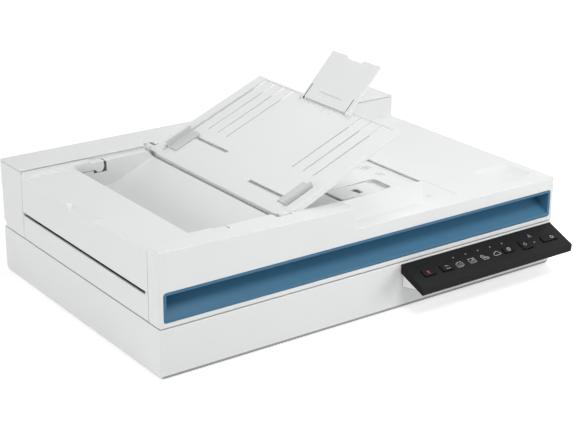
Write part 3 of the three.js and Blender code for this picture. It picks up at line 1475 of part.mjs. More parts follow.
function guidePinion() {
  const t = tray;
  const mid = (t.front + t.back) / 2;
  const top = t.top - t.floor - t.thick - RUN;
  const wheel = prism(
    "z", top - guide.rackThick, top, toothed(guide.midU, mid, guide.pinionTeeth, guide.tooth, 0),
  );
  const hole = round("z", top - OVER, top + OVER, guide.midU, mid, guide.boss + RUN, HOLE_SIDES);
  return piece("guide_pinion", cut(wheel, hole), finishes.gear);
}

// Extender, in a frame whose origin is its hinge, x up its face and z square to it
function trayExtender() {
  const e = extender;
  const half = e.thick / 2;
  const sheet = block(0, e.length, e.front, e.back, -half, half);
  const inFront = e.front + e.frontArm;
  const inBack = e.back - e.backArm;
  const footCut = block(-OVER, e.foot, inFront, inBack, -OVER, OVER);
  const slits = [
    [inFront, inFront + e.frontSlit],
    [inBack - e.backSlit, inBack],
  ].map(([y0, y1]) => block(-OVER, e.slitLength, y0, y1, -half + e.slitFloor, OVER));
  const mid = (e.front + e.back) / 2;
  const topNotch = prism("z", -OVER, OVER, [
    [e.length - e.notchDeep, mid - e.notchLow / 2],
    [e.length, mid - e.notchTop / 2],
    [e.length + OVER, mid - e.notchTop / 2],
    [e.length + OVER, mid + e.notchTop / 2],
    [e.length, mid + e.notchTop / 2],
    [e.length - e.notchDeep, mid + e.notchLow / 2],
  ]);
  const dent = prism("y", mid - e.dentWide / 2, mid + e.dentWide / 2, [
    [e.dentLow, half],
    [e.dentHigh, half - e.dent],
    [e.dentHigh, half + OVER],
    [e.dentLow, half + OVER],
  ]);
  const knuckles = [
    [e.front, inFront],
    [inBack, e.back],
  ].map(([y0, y1]) => round("y", y0, y1, 0, 0, e.knuckle, HOLE_SIDES));
  const bores = [
    [e.front - OVER, e.front + e.frontArm / 2 + RUN],
    [e.back - e.backArm / 2 - RUN, e.back + OVER],
  ].map(([y0, y1]) => round("y", y0, y1, 0, 0, e.pin + RUN, HOLE_SIDES));
  const shape = cut(join(cut(sheet, footCut, ...slits, topNotch, dent), ...knuckles), ...bores);
  return piece("tray_extender", shape, finishes.white);
}

// Assembly
const scanner = new THREE.Group();
scanner.position.set(-WIDTH / 2, -(DEPTH - panel.reach) / 2, -TABLE);

const base = new THREE.Group();
base.add(
  baseTub(),
  platenFrame(),
  glass("platen_glass", platen.left, platen.right),
  glass("strip_glass", platen.stripLeft, platen.stripRight),
  ...feet(),
  guideRod(),
  scanCarriage(),
  imageSensor(),
  driveBelt(),
  idlerPulley(),
  drivePulley(),
  carriageMotor(),
  mainBoard(),
  powerJack(),
  usbSocket(),
  panelHousing(),
  panelFairing(),
);

const panelFace = new THREE.Group();
panelFace.position.set(0, -panel.offset, panel.backZ);
panelFace.rotation.x = panelSlope;
panelFace.add(panelBoard(), statusLenses(), ...buttons());

const hinges = new THREE.Group();
postPlaces().forEach((x, i) => {
  const side = ["left", "right"][i];
  hinges.add(
    hingePost(`hinge_post_${side}`, x), hingeLeaf(`hinge_leaf_${side}`, x),
    hingePin(`hinge_pin_${side}`, x),
  );
});

const lidGroup = new THREE.Group();
lidGroup.add(lidCover(), rearBarCap(), fingerGrip(), lidFrame(), lidPad(), outputBay(), outputStop());

const feeder = new THREE.Group();
feeder.add(
  feederFrame(), sidePanel(), feederCover(), feederMotor(), duplexSensor(),
  ...Object.values(rollers()).flat(),
);

const trayGroup = new THREE.Group();
trayGroup.position.set(tray.pivotX, 0, tray.pivotZ);
trayGroup.rotation.y = -rad(tray.angle);
trayGroup.add(
  inputTray(), trayBottom(), widthGuide("guide_front", 1), widthGuide("guide_rear", -1), guidePinion(),
);

const extenderGroup = new THREE.Group();
extenderGroup.position.set(hingeU, 0, extender.hingeV);
extenderGroup.rotation.y = -rad(extender.lean);
extenderGroup.add(trayExtender());
trayGroup.add(extenderGroup);

scanner.add(base, panelFace, hinges, lidGroup, feeder, trayGroup);

export default scanner;
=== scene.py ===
"""Looks of the flatbed scanner with a sheet feeder in its lid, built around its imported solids."""

import json
import logging
import math
from collections.abc import Callable, Iterator, Sequence
from contextlib import contextmanager
from dataclasses import dataclass, field
from enum import Enum

import bmesh
import bpy
from mathutils import Matrix, Vector


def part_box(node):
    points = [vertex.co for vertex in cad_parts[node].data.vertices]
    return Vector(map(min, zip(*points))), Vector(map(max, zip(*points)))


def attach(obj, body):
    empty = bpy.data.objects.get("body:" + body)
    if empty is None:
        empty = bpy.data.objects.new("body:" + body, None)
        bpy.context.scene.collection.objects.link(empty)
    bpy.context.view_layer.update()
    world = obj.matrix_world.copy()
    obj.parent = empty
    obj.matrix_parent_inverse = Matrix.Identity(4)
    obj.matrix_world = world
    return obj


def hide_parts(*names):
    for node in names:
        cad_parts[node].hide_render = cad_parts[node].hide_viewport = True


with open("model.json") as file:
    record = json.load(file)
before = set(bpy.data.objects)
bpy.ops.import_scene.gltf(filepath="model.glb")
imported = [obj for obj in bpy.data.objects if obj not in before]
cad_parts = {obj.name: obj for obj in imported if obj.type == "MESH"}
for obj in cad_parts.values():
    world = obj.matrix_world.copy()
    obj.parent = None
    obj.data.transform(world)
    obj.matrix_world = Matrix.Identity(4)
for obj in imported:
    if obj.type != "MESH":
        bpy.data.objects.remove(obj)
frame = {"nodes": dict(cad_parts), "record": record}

LOG = logging.getLogger("scanner")
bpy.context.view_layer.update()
MM = 0.001
CORNER = Vector((250.0, 145.2, -3.4))
TOUCHING = MM * MM
ROUNDING_SHARES = (1.0, 0.6, 0.3, 0.0)
LEAST_VOLUME, MOST_VOLUME, MOST_AREA = 0.9, 1.001, 1.01
FLAT_ENOUGH = math.radians(0.4)
NEARLY_PARALLEL = 0.7

Colour = tuple[float, float, float]
Point = tuple[float, float]


def at(x: float, y: float, z: float) -> Vector:
    """A place measured in millimetres as in the part's source, in the row frame.

    Args:
        x: To the right from the base's front left corner.
        y: To the back from there.
        z: Up from the source's zero level, which lies over the table.

    Returns:
        The place in metres.
    """
    return (Vector((x, y, z)) - CORNER) * MM


class Slot(Enum):
    """The record's material slots."""

    WHITE = "white_plastic"
    PALE = "pale_grey_plastic"
    GREY = "grey_plastic"
    BLACK = "black_plastic"
    KEY = "key_plastic"
    BLUE = "blue_plastic"
    RUBBER = "rubber"
    BACKING = "white_backing"
    GLASS = "glass"
    STEEL = "steel"
    BOARD = "circuit_board"
    GEAR = "gear_plastic"
    CLEAR = "clear_plastic"


# Modelling steps


def deselect() -> None:
    """Leaves nothing selected."""
    bpy.ops.object.select_all(action="DESELECT")


def activate(piece: bpy.types.Object) -> None:
    """Selects one piece alone and makes it active."""
    deselect()
    piece.select_set(True)
    bpy.context.view_layer.objects.active = piece


@contextmanager
def editing(piece: bpy.types.Object) -> Iterator[None]:
    """Opens a piece in edit mode and closes it again.

    Args:
        piece: The piece to work on.
    """
    activate(piece)
    bpy.ops.object.mode_set(mode="EDIT")
    yield
    bpy.ops.object.mode_set(mode="OBJECT")


def pick(
    piece: bpy.types.Object,
    faces: Callable[[bmesh.types.BMFace], bool] | None = None,
    edges: Callable[[bmesh.types.BMEdge], bool] | None = None,
) -> int:
    """Selects faces or edges of the piece in edit mode by a test.

    Args:
        piece: The piece in edit mode.
        faces: The test that a face has to pass.
        edges: The test that an edge has to pass.

    Returns:
        How many were selected.
    """
    bpy.ops.mesh.select_mode(type="FACE" if faces else "EDGE")
    bpy.ops.mesh.select_all(action="DESELECT")
    mesh = bmesh.from_edit_mesh(piece.data)
    mesh.normal_update()
    found = [part for part in (mesh.faces if faces else mesh.edges) if (faces or edges)(part)]
    for part in found:
        part.select_set(True)
    bmesh.update_edit_mesh(piece.data)
    return len(found)


def settle(piece: bpy.types.Object, smooth: float = 38.0) -> bpy.types.Object:
    """Puts a piece's place in its mesh, points its faces outwards and smooths its gentle edges.

    Args:
        piece: The piece.
        smooth: The sharpest edge, in degrees, that is shaded smooth.

    Returns:
        The same piece.
    """
    activate(piece)
    bpy.ops.object.transform_apply(location=True, rotation=True, scale=True)
    with editing(piece):
        bpy.ops.mesh.select_all(action="SELECT")
        bpy.ops.mesh.normals_make_consistent(inside=False)
    shade(piece, smooth)
    return piece


def shade(piece: bpy.types.Object, smooth: float) -> None:
    """Shades gentle edges smooth and keeps flat faces flat.

    Args:
        piece: The piece.
        smooth: The sharpest edge, in degrees, that is shaded smooth.
    """
    activate(piece)
    bpy.ops.object.shade_smooth_by_angle(angle=math.radians(smooth))
    bpy.ops.object.modifier_add(type="WEIGHTED_NORMAL")
    modifier = piece.modifiers[-1]
    modifier.keep_sharp = True
    bpy.ops.object.modifier_apply(modifier=modifier.name)


def merge(name: str, pieces: Sequence[bpy.types.Object]) -> bpy.types.Object:
    """Joins several meshes to one piece.

    Args:
        name: The joined piece's name.
        pieces: The meshes.

    Returns:
        The joined piece.
    """
    activate(pieces[0])
    for piece in pieces:
        piece.select_set(True)
    if len(pieces) > 1:
        bpy.ops.object.join()
    bpy.context.object.name = name
    return bpy.context.object


@dataclass(frozen=True)
class Soft:
    """How a moulding's outer edges are rounded."""

    width: float = 0.8
    segments: int = 3
    sharpest: float = 35.0
    spare: float = 3.0
    room: float = 2.15

    def copy(self, node: str, name: str) -> bpy.types.Object:
        """A copy of a solid whose outer edges are rounded as a moulding's are.

        Args:
            node: The solid's name.
            name: The copy's name.

        Returns:
            The new piece.
        """
        for share in ROUNDING_SHARES:
            piece = self.plain(node, name)
            before = measure(piece)
            if share:
                self.round_edges(piece, self.width * share * MM)
            after = measure(piece)
            if after.still_sound(before):
                break
            LOG.info("%s: edges rounded by less, %s", name, after)
            bpy.data.objects.remove(piece)
        shade(piece, self.sharpest + self.spare)
        return piece

    def plain(self, node: str, name: str) -> bpy.types.Object:
        """A copy of a solid with its doubled points and needless edges gone.

        Args:
            node: The solid's name.
            name: The copy's name.

        Returns:
            The new piece.
        """
        piece = bpy.data.objects.new(name, frame["nodes"][node].data.copy())
        bpy.context.scene.collection.objects.link(piece)
        activate(piece)
        bpy.ops.mesh.customdata_custom_splitnormals_clear()
        with editing(piece):
            bpy.ops.mesh.select_all(action="SELECT")
            bpy.ops.mesh.remove_doubles(threshold=TOUCHING)
            bpy.ops.mesh.dissolve_limited(angle_limit=FLAT_ENOUGH)
        return piece

    def round_edges(self, piece: bpy.types.Object, width: float) -> None:
        """Rounds the outward edges that have room for it.

        Args:
            piece: The piece.
            width: How far the rounding reaches on each side, in metres.
        """
        limit = math.radians(self.sharpest)

        def fits(edge: bmesh.types.BMEdge) -> bool:
            """Whether an edge points outwards and both its faces are wide enough."""
            if len(edge.link_faces) != 2 or not edge.is_convex or edge.calc_face_angle(0.0) < limit:
                return False
            return all(clearance(face, edge) > width * self.room for face in edge.link_faces)

        with editing(piece):
            if pick(piece, edges=fits):
                bpy.ops.mesh.bevel(
                    offset=width, segments=self.segments, profile=0.5, affect="EDGES", clamp_overlap=False
                )


def clearance(face: bmesh.types.BMFace, edge: bmesh.types.BMEdge) -> float:
    """How far a face reaches from one of its edges before it meets a parallel edge.

    Args:
        face: The face.
        edge: One of its edges.

    Returns:
        The distance in metres.
    """
    start, end = (corner.co for corner in edge.verts)
    length = (end - start).length
    along = (end - start).normalized()
    across = face.normal.cross(along)
    near = MM * 0.1
    best = math.inf
    for other in face.edges:
        if other is edge:
            continue
        a, b = (corner.co - start for corner in other.verts)
        if abs((b - a).normalized().dot(along)) < NEARLY_PARALLEL:
            continue
        low, high = sorted((a.dot(along), b.dot(along)))
        if high < near or low > length - near:
            continue
        best = min(best, max(abs(a.dot(across)), abs(b.dot(across))))
    return best


@dataclass(frozen=True)
class Measure:
    """What a mesh measures."""

    volume: float
    area: float
    open_edges: int

    def still_sound(self, before: "Measure") -> bool:
        """Whether a rounded mesh is closed and measures nearly what it did.

        Args:
            before: What the mesh measured before its edges were rounded.

        Returns:
            True if it is sound.
        """
        kept = LEAST_VOLUME < self.volume / before.volume < MOST_VOLUME
        return self.open_edges == 0 and kept and self.area < before.area * MOST_AREA


def measure(piece: bpy.types.Object) -> Measure:
    """Measures a piece's mesh.

    Args:
        piece: The piece.

    Returns:
        Its volume, area and count of edges that don't join two faces.
    """
    mesh = bmesh.new()
    mesh.from_mesh(piece.data)
    found = Measure(
        volume=mesh.calc_volume(signed=True),
        area=sum(face.calc_area() for face in mesh.faces),
        open_edges=sum(len(edge.link_faces) != 2 for edge in mesh.edges),
    )
    mesh.free()
    return found


# Finishes


class Graph:
    """A material's nodes."""

    def __init__(self, name: str) -> None:
        """Starts an empty material.

        Args:
            name: The material's name.
        """
        self.material = bpy.data.materials.new(name)
        self.material.use_nodes = True
        self.tree = self.material.node_tree
        self.tree.nodes.clear()
        self.output = self.tree.nodes.new("ShaderNodeOutputMaterial")
        self.place = self.add("ShaderNodeTexCoord").outputs["Object"]

    def add(self, kind: str, inputs: dict | None = None, **settings) -> bpy.types.ShaderNode:
        """Adds a node.

        Args:
            kind: The node's type.
            inputs: Values or sockets for its inputs, by name or number.
            settings: Its own settings.

        Returns:
            The node.
        """
        node = self.tree.nodes.new(kind)
        for key, value in settings.items():
            setattr(node, key, value)
        for key, value in (inputs or {}).items():
            if isinstance(value, bpy.types.NodeSocket):
                self.tree.links.new(value, node.inputs[key])
            else:
                node.inputs[key].default_value = value
        return node

    def noise(self, scale: float, detail: float = 2.0, place=None, rough: float = 0.5):
        """A noise pattern on the piece.

        Args:
            scale: How fine it is, in cells per metre.
            detail: How many finer layers it has.
            place: The coordinates, or None for the piece's own.
            rough: The strength of the finer layers.

        Returns:
            The noise's value.
        """
        inputs = {"Vector": place or self.place, "Scale": scale, "Detail": detail, "Roughness": rough}
        return self.add("ShaderNodeTexNoise", inputs).outputs[0]

    def span(self, value, low: float, high: float, start: float = 0.0, end: float = 1.0):
        """Brings a value from one span to another.

        Args:
            value: The value.
            low: What the start becomes.
            high: What the end becomes.
            start: The start of its span.
            end: The end of its span.

        Returns:
            The new value.
        """
        inputs = {0: value, 1: start, 2: end, 3: low, 4: high}
        return self.add("ShaderNodeMapRange", inputs, clamp=True).outputs[0]

    def blend(self, share, first, second):
        """Mixes two colours.

        Args:
            share: The share of the second.
            first: A colour or a socket.
            second: A colour or a socket.

        Returns:
            The mixed colour.
        """
        node = self.add("ShaderNodeMix", {"Factor": share}, data_type="RGBA")
        for key, value in ((6, first), (7, second)):
            if isinstance(value, bpy.types.NodeSocket):
                self.tree.links.new(value, node.inputs[key])
            else:
                node.inputs[key].default_value = (*value, 1.0)
        return node.outputs[2]

    def bump(self, height, depth: float, strength: float = 1.0, under=None):
        """Raises the surface by a pattern.

        Args:
            height: The pattern.
            depth: How deep it is, in metres.
            strength: How strongly it shows.
            under: Another bump that it lies on.

        Returns:
            The surface's direction.
        """
        inputs = {"Height": height, "Distance": depth, "Strength": strength}
        if under:
            inputs["Normal"] = under
        return self.add("ShaderNodeBump", inputs).outputs[0]

    def edges(self, radius: float):
        """How near a point is to an outward or inward edge.

        Args:
            radius: How far the edge reaches, in metres.

        Returns:
            0 on flat faces and up to 1 at edges.
        """
        rounded = self.add("ShaderNodeBevel", {"Radius": radius}, samples=4).outputs[0]
        plain = self.add("ShaderNodeNewGeometry").outputs["Normal"]
        same = self.add("ShaderNodeVectorMath", {0: rounded, 1: plain}, operation="DOT_PRODUCT").outputs["Value"]
        return self.span(same, 1.0, 0.0, 0.85, 1.0)

    def surface(self, **inputs) -> bpy.types.Material:
        """Ends the material with a principled surface.

        Args:
            inputs: The surface's values, with _ for each space.

        Returns:
            The material.
        """
        named = {key.replace("_", " "): value for key, value in inputs.items()}
        shader = self.add("ShaderNodeBsdfPrincipled", named)
        self.tree.links.new(shader.outputs[0], self.output.inputs[0])
        return self.material


def shade_of(colour: Colour, share: float) -> Colour:
    """A colour made lighter or darker by a share."""
    return tuple(min(1.0, part * share) for part in colour)


@dataclass(frozen=True)
class Moulded:
    """Moulded plastic with the fine grain of an eroded mould, and a painted highlight along its edges."""

    name: str
    colour: Colour
    roughness: float = 0.5
    grain: float = 0.0007
    depth: float = 0.00002
    mottle: float = 0.012
    specular: float = 0.4
    coat: float = 0.0
    # edge: how much lighter the colour is painted at edges, a painted highlight
    edge: float = 1.04
    round: float = 0.0
    cloud_scale: float = 7.0
    patch_scale: float = 40.0
    highlight_reach: float = 0.0006
    uneven: float = 0.04

    def material(self) -> bpy.types.Material:
        """Builds the material."""
        graph = Graph(self.name)
        broad = graph.noise(self.cloud_scale, 3.0)
        fine = graph.noise(1 / self.grain, 2.0)
        low, high = shade_of(self.colour, 1 - self.mottle), shade_of(self.colour, 1 + self.mottle)
        darkest = shade_of(self.colour, 1 - self.mottle * 1.5)
        tone = graph.blend(graph.span(broad, 0, 1, 0.35, 0.65), low, high)
        speck = graph.blend(graph.span(fine, 0, 0.5, 0.4, 0.7), tone, darkest)
        # painted highlight: edges lightened by the edge share
        edge_highlight = graph.blend(graph.edges(self.highlight_reach), speck, shade_of(self.colour, self.edge))
        patch = graph.noise(self.patch_scale, 3.0)
        rough = graph.span(patch, self.roughness - self.uneven, self.roughness + self.uneven, 0.3, 0.7)
        under = None
        if self.round:
            under = graph.add("ShaderNodeBevel", {"Radius": self.round}, samples=4).outputs[0]
        return graph.surface(
            Base_Color=edge_highlight,
            Roughness=rough,
            Specular_IOR_Level=self.specular,
            Coat_Weight=self.coat,
            Coat_Roughness=0.2,
            Normal=graph.bump(fine, self.depth, under=under),
        )


@dataclass(frozen=True)
class Rubber:
    """Soft matt rubber with a ground face."""

    name: str
    colour: Colour
    dust_scale: float = 60.0
    grain_scale: float = 2600.0
    depth: float = 0.00004

    def material(self) -> bpy.types.Material:
        """Builds the material."""
        graph = Graph(self.name)
        dust = graph.span(graph.noise(self.dust_scale, 4.0), 0, 1, 0.35, 0.75)
        fine = graph.noise(self.grain_scale, 3.0)
        tone = graph.blend(dust, self.colour, shade_of(self.colour, 1.3))
        return graph.surface(
            Base_Color=graph.blend(graph.span(fine, 0, 0.4), tone, shade_of(self.colour, 0.7)),
            Roughness=graph.span(dust, 0.78, 0.92),
            Specular_IOR_Level=0.3,
            Normal=graph.bump(fine, self.depth),
        )


@dataclass(frozen=True)
class Steel:
    """Bright steel with drawn lines along one axis."""

    name: str
    colour: Colour
    lines: Colour = (40.0, 3000.0, 3000.0)
    roughness: float = 0.28
    cloud_scale: float = 30.0
    depth: float = 0.000008

    def material(self) -> bpy.types.Material:
        """Builds the material."""
        graph = Graph(self.name)
        stretched = graph.add("ShaderNodeMapping", {"Vector": graph.place, "Scale": self.lines}).outputs[0]
        drawn = graph.noise(1.0, 3.0, stretched)
        cloud = graph.noise(self.cloud_scale, 3.0)
        return graph.surface(
            Base_Color=graph.blend(cloud, shade_of(self.colour, 0.9), self.colour),
            Metallic=1.0,
            Roughness=graph.span(drawn, self.roughness - 0.08, self.roughness + 0.12),
            Normal=graph.bump(drawn, self.depth),
        )


@dataclass(frozen=True)
class Clear:
    """Clear glass or plastic with a faint haze on it."""

    name: str
    colour: Colour
    roughness: float = 0.03
    index: float = 1.5
    clear: float = 0.85
    haze_scale: float = 25.0

    def material(self) -> bpy.types.Material:
        """Builds the material."""
        graph = Graph(self.name)
        haze = graph.noise(self.haze_scale, 4.0)
        return graph.surface(
            Base_Color=graph.blend(haze, self.colour, shade_of(self.colour, 1.03)),
            Roughness=graph.span(haze, self.roughness, self.roughness + 0.05, 0.4, 0.8),
            Transmission_Weight=self.clear,
            IOR=self.index,
        )


@dataclass(frozen=True)
class Laminate:
    """A circuit board: lacquer over copper runs, with tinned pads."""

    name: str
    colour: Colour
    tin: Colour = (0.62, 0.6, 0.52)
    run_scale: float = 220.0
    pad_scale: float = 190.0
    depth: float = 0.00004

    def material(self) -> bpy.types.Material:
        """Builds the material."""
        graph = Graph(self.name)
        bricks = {"Mortar Size": 0.09, "Brick Width": 0.9, "Row Height": 0.35}
        inputs = {"Vector": graph.place, "Scale": self.run_scale, **bricks}
        runs = graph.add("ShaderNodeTexBrick", inputs).outputs["Fac"]
        inputs = {"Vector": graph.place, "Scale": self.pad_scale}
        pads = graph.add("ShaderNodeTexVoronoi", inputs).outputs["Distance"]
        copper = graph.blend(runs, self.colour, shade_of(self.colour, 1.7))
        dotted = graph.blend(graph.span(pads, 1, 0, 0.08, 0.14), copper, self.tin)
        return graph.surface(
            Base_Color=dotted,
            Roughness=graph.span(graph.noise(90.0, 2.0), 0.3, 0.45),
            Normal=graph.bump(runs, self.depth),
        )


@dataclass(frozen=True)
class Printed:
    """Ink printed on a moulding; in grey it is also the painted shade of marks moulded in relief."""

    name: str
    colour: Colour
    roughness: float = 0.55
    wear_scale: float = 1800.0
    depth: float = 0.00001

    def material(self) -> bpy.types.Material:
        """Builds the material."""
        graph = Graph(self.name)
        worn = graph.noise(self.wear_scale, 3.0)
        return graph.surface(
            Base_Color=graph.blend(worn, shade_of(self.colour, 0.86), shade_of(self.colour, 1.1)),
            Roughness=self.roughness,
            Normal=graph.bump(worn, self.depth),
        )


WHITE = Moulded("white_shell", (0.83, 0.842, 0.836), 0.48, edge=1.03)
# painted shade: grey for faces that face downwards, on the tub's foot and under the panel
UNDER_SHADE = Moulded("grey_under_shade", (0.33, 0.345, 0.34), 0.6)
# painted shade: grey for the floors of the tray's grooves
GROOVE_SHADE = Moulded("groove_shade", (0.4, 0.415, 0.41), 0.6)
SHADE = Moulded("slot_shade", (0.05, 0.052, 0.054), 0.6)
# painted shade: dark grey in the extender's slits
SLIT_SHADE = Moulded("slit_shade", (0.17, 0.175, 0.175), 0.6)
PALE = Moulded("pale_grey_moulding", (0.64, 0.655, 0.65), 0.5, round=0.0004)
GREY = Moulded("grey_moulding", (0.27, 0.29, 0.29), 0.55, round=0.0004)
DARK = Moulded("dark_moulding", (0.03, 0.032, 0.034), 0.45, round=0.0004)
# painted highlight: the edge shares of the panel, keys and grip lighten their edges
PANEL = Moulded("panel_black", (0.0165, 0.0165, 0.017), 0.45, 0.0005, 0.000018, 0.05, 0.06, edge=2.6)
KEYCAP = Moulded("key_black", (0.0125, 0.0125, 0.013), 0.42, 0.0004, 0.00001, 0.04, 0.06, edge=2.6)
BLUE = Moulded("grip_blue", (0.05, 0.165, 0.28), 0.42, 0.0007, 0.00002, 0.03, 0.3, edge=1.15)
RUBBER = Rubber("roller_rubber", (0.035, 0.037, 0.04))
FOOT = Rubber("foot_rubber", (0.05, 0.052, 0.055))
BELT = Rubber("belt_rubber", (0.028, 0.028, 0.03))
BACKING = Moulded("white_backing_foam", (0.86, 0.86, 0.85), 0.8, 0.0012, 0.00005, 0.01, 0.2)
STEEL = Steel("drawn_steel", (0.62, 0.63, 0.64))
CAN_STEEL = Steel("motor_steel", (0.56, 0.57, 0.58), (900.0, 900.0, 60.0), 0.34)
GLASS = Clear("platen_glass_clear", (0.86, 0.93, 0.91))
LENS = Clear("lamp_lens", (0.5, 0.51, 0.51), 0.25, 1.49, 0.3)
BOARD = Laminate("board_green", (0.02, 0.12, 0.055))
NYLON = Moulded("gear_nylon", (0.72, 0.69, 0.6), 0.42, 0.0006, 0.00001, 0.02, round=0.0002)
INK = Printed("panel_ink", (0.55, 0.56, 0.55))
RED_INK = Printed("red_ink", (0.62, 0.12, 0.09))
# painted shade: grey for marks moulded in relief, which show only by their shade
RELIEF_SHADE = Printed("relief_shade", (0.38, 0.39, 0.39))


class Finisher:
    """Gives pieces their finish and the body they ride on."""

    def __init__(self) -> None:
        """Notes which body holds each solid."""
        bodies = frame["record"]["behaviour"]["bodies"]
        self.bodies = {node: body for body, nodes in bodies.items() for node in nodes}
        self.made: dict[str, bpy.types.Material] = {}

    def material(self, finish) -> bpy.types.Material:
        """The material of a finish, built when it is first asked for."""
        if finish.name not in self.made:
            self.made[finish.name] = finish.material()
        return self.made[finish.name]

    def paint(self, piece: bpy.types.Object, finish) -> None:
        """Puts one finish on a piece.

        Args:
            piece: The piece.
            finish: Its finish.
        """
        material = self.material(finish)
        if not piece.material_slots:
            piece.data.materials.append(material)
        for holder in piece.material_slots:
            holder.material = material

    def accent(self, piece: bpy.types.Object, finish, faces: Callable[[bpy.types.MeshPolygon], bool]) -> None:
        """Gives some of a painted piece's faces another finish.

        Args:
            piece: The piece.
            finish: The other finish.
            faces: The test that those faces pass.
        """
        piece.data.materials.append(self.material(finish))
        for face in piece.data.polygons:
            if faces(face):
                face.material_index = len(piece.data.materials) - 1

    def keep(self, finish, *nodes: str) -> None:
        """Gives carried-over solids their finish.

        Args:
            finish: The finish.
            nodes: The solids' names.
        """
        for node in nodes:
            self.paint(frame["nodes"][node], finish)
            LOG.info("%s keeps its solid, %s", node, finish.name)

    def stand_for(self, piece: bpy.types.Object, finish, slot: Slot, *nodes: str) -> bpy.types.Object:
        """Puts a piece in the place of solids.

        Args:
            piece: The new piece.
            finish: Its finish.
            slot: The record's slot for that finish.
            nodes: The solids that it stands for.

        Returns:
            The piece.
        """
        self.add(piece, finish, slot, self.bodies[nodes[0]])
        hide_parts(*nodes)
        return piece

    def add(self, piece: bpy.types.Object, finish, slot: Slot, body: str) -> bpy.types.Object:
        """Puts a piece on a body.

        Args:
            piece: The new piece.
            finish: Its finish.
            slot: The record's slot for that finish; not used.
            body: The body that it rides on.

        Returns:
            The piece.
        """
        self.paint(piece, finish)
        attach(piece, body)
        LOG.info("%s on %s, %d faces, %s", piece.name, body, len(piece.data.polygons), finish.name)
        return piece


# Marks


@dataclass(frozen=True)
class Stroke:
    """One line of a mark, in millimetres from the mark's middle."""

    points: tuple[Point, ...]
    closed: bool = False


# A mark's strokes, its middle and its size.
Mark = tuple[tuple[Stroke, ...], float, float, float]


def ring(
    radius: float, start: float = 0.0, end: float = 360.0, steps: int = 20, x: float = 0.0, y: float = 0.0
) -> Stroke:
    """A round line.

    Args:
        radius: Its radius.
        start: Where it starts, in degrees.
        end: Where it ends, in degrees.
        steps: How many straight bits it has.
        x: Its middle, to the right.
        y: Its middle, upwards.

    Returns:
        The line.
    """
    whole = end - start >= 360
    angles = [math.radians(start + (end - start) * i / steps) for i in range(steps + (0 if whole else 1))]
    return Stroke(tuple((x + radius * math.cos(a), y + radius * math.sin(a)) for a in angles), whole)


def frame_line(left: float, right: float, low: float, high: float) -> Stroke:
    """A closed line round a rectangle."""
    return Stroke(((left, low), (right, low), (right, high), (left, high)), True)


STACKED_PAGES = (
    Stroke(((-1.6, 2.9), (2.4, 2.9), (4.0, 1.4), (4.0, -2.2), (-1.6, -2.2)), True),
    Stroke(((-2.6, 1.6), (-3.9, 1.6), (-3.9, -3.3), (2.2, -3.3), (2.2, -2.9))),
    Stroke(((0.0, -0.9), (1.1, 1.5), (2.3, -0.9))),
)
PICTURE = (
    frame_line(-3.7, 3.7, -2.9, 2.9),
    Stroke(((-2.5, -1.7), (-0.6, 1.0), (0.6, -0.6), (1.3, 0.4), (2.6, -1.7)), True),
    ring(0.55, x=1.9, y=1.5, steps=8),
)
ENVELOPE = (
    Stroke(((3.9, -0.4), (3.9, -3.0), (-2.6, -3.0), (-2.6, -1.6))),
    Stroke(((-0.4, -0.4), (3.9, -0.4), (1.9, -1.9), (0.2, -0.8))),
    ring(2.1, x=-1.6, y=1.0, steps=16),
    Stroke(((-2.6, 1.0), (-0.6, 1.0))),
)
CLOUD = (
    Stroke(
        ((-3.0, -2.2), (3.0, -2.2), (4.2, -1.5), (4.3, -0.2), (3.5, 0.6), (2.6, 0.8), (2.2, 2.1), (0.9, 2.8),
         (-0.6, 2.5), (-1.4, 1.4), (-2.6, 1.5), (-3.4, 0.8), (-3.4, 0.1), (-4.2, -0.5), (-4.1, -1.6)),
        True,
    ),
)
CROSS = (Stroke(((-1.4, -1.8), (1.4, 1.8))), Stroke(((-1.4, 1.8), (1.4, -1.8))))
PAGE_CORNERS = (
    Stroke(((-1.6, -0.9), (-1.6, -2.0), (1.6, -2.0), (1.6, -0.9))),
    Stroke(((-1.6, 0.9), (-1.6, 2.0), (0.6, 2.0), (1.6, 1.1), (1.6, 0.9))),
)
DOUBLE_PAGE = (
    Stroke(((-0.6, 2.1), (1.2, 2.1), (2.0, 1.3), (2.0, -1.0), (-0.6, -1.0)), True),
    Stroke(((-1.5, 1.1), (-1.9, 1.1), (-1.9, -2.1), (0.9, -2.1), (0.9, -1.7))),
    Stroke(((0.1, 0.9), (1.3, 0.9))),
    Stroke(((0.1, 0.1), (1.3, 0.1))),
)
DIAMOND = (Stroke(((0.0, -1.9), (1.9, 0.0), (0.0, 1.9), (-1.9, 0.0)), True),)
WARNING = (
    Stroke(((-2.0, -1.6), (2.0, -1.6), (0.0, 2.0)), True),
    Stroke(((0.0, 0.5), (0.0, -0.4))),
)
POWER = (ring(1.7, 125, 415, 18), Stroke(((0.0, 0.4), (0.0, 2.1))))
SHEET_PATH = (
    Stroke(((-5.8, -2.6), (-6.9, 0.8), (-5.4, 5.2), (3.7, 5.2))),
    Stroke(((-6.9, -5.4), (3.4, -5.4), (4.8, -2.0))),
    frame_line(-3.4, 2.0, -2.2, 2.6),
    Stroke(((-3.4, 0.9), (2.0, 0.9))),
    Stroke(((-3.4, -0.6), (2.0, -0.6))),
    Stroke(((3.2, 0.8), (5.4, 0.8))),
)
TURNED_SHEET = (
    Stroke(((-4.6, -1.4), (-2.8, 2.7), (4.6, 2.7), (4.6, 1.0), (2.0, -2.9), (-4.6, -2.9)), True),
    Stroke(((-2.0, -1.8), (1.6, 1.6))),
)
DOT = (ring(0.25, steps=8),)
SMALL_CIRCLE = (ring(1.3, steps=12), Stroke(((2.4, 0.0), (3.4, 0.0))), Stroke(((-3.4, 0.0), (-2.4, 0.0))))


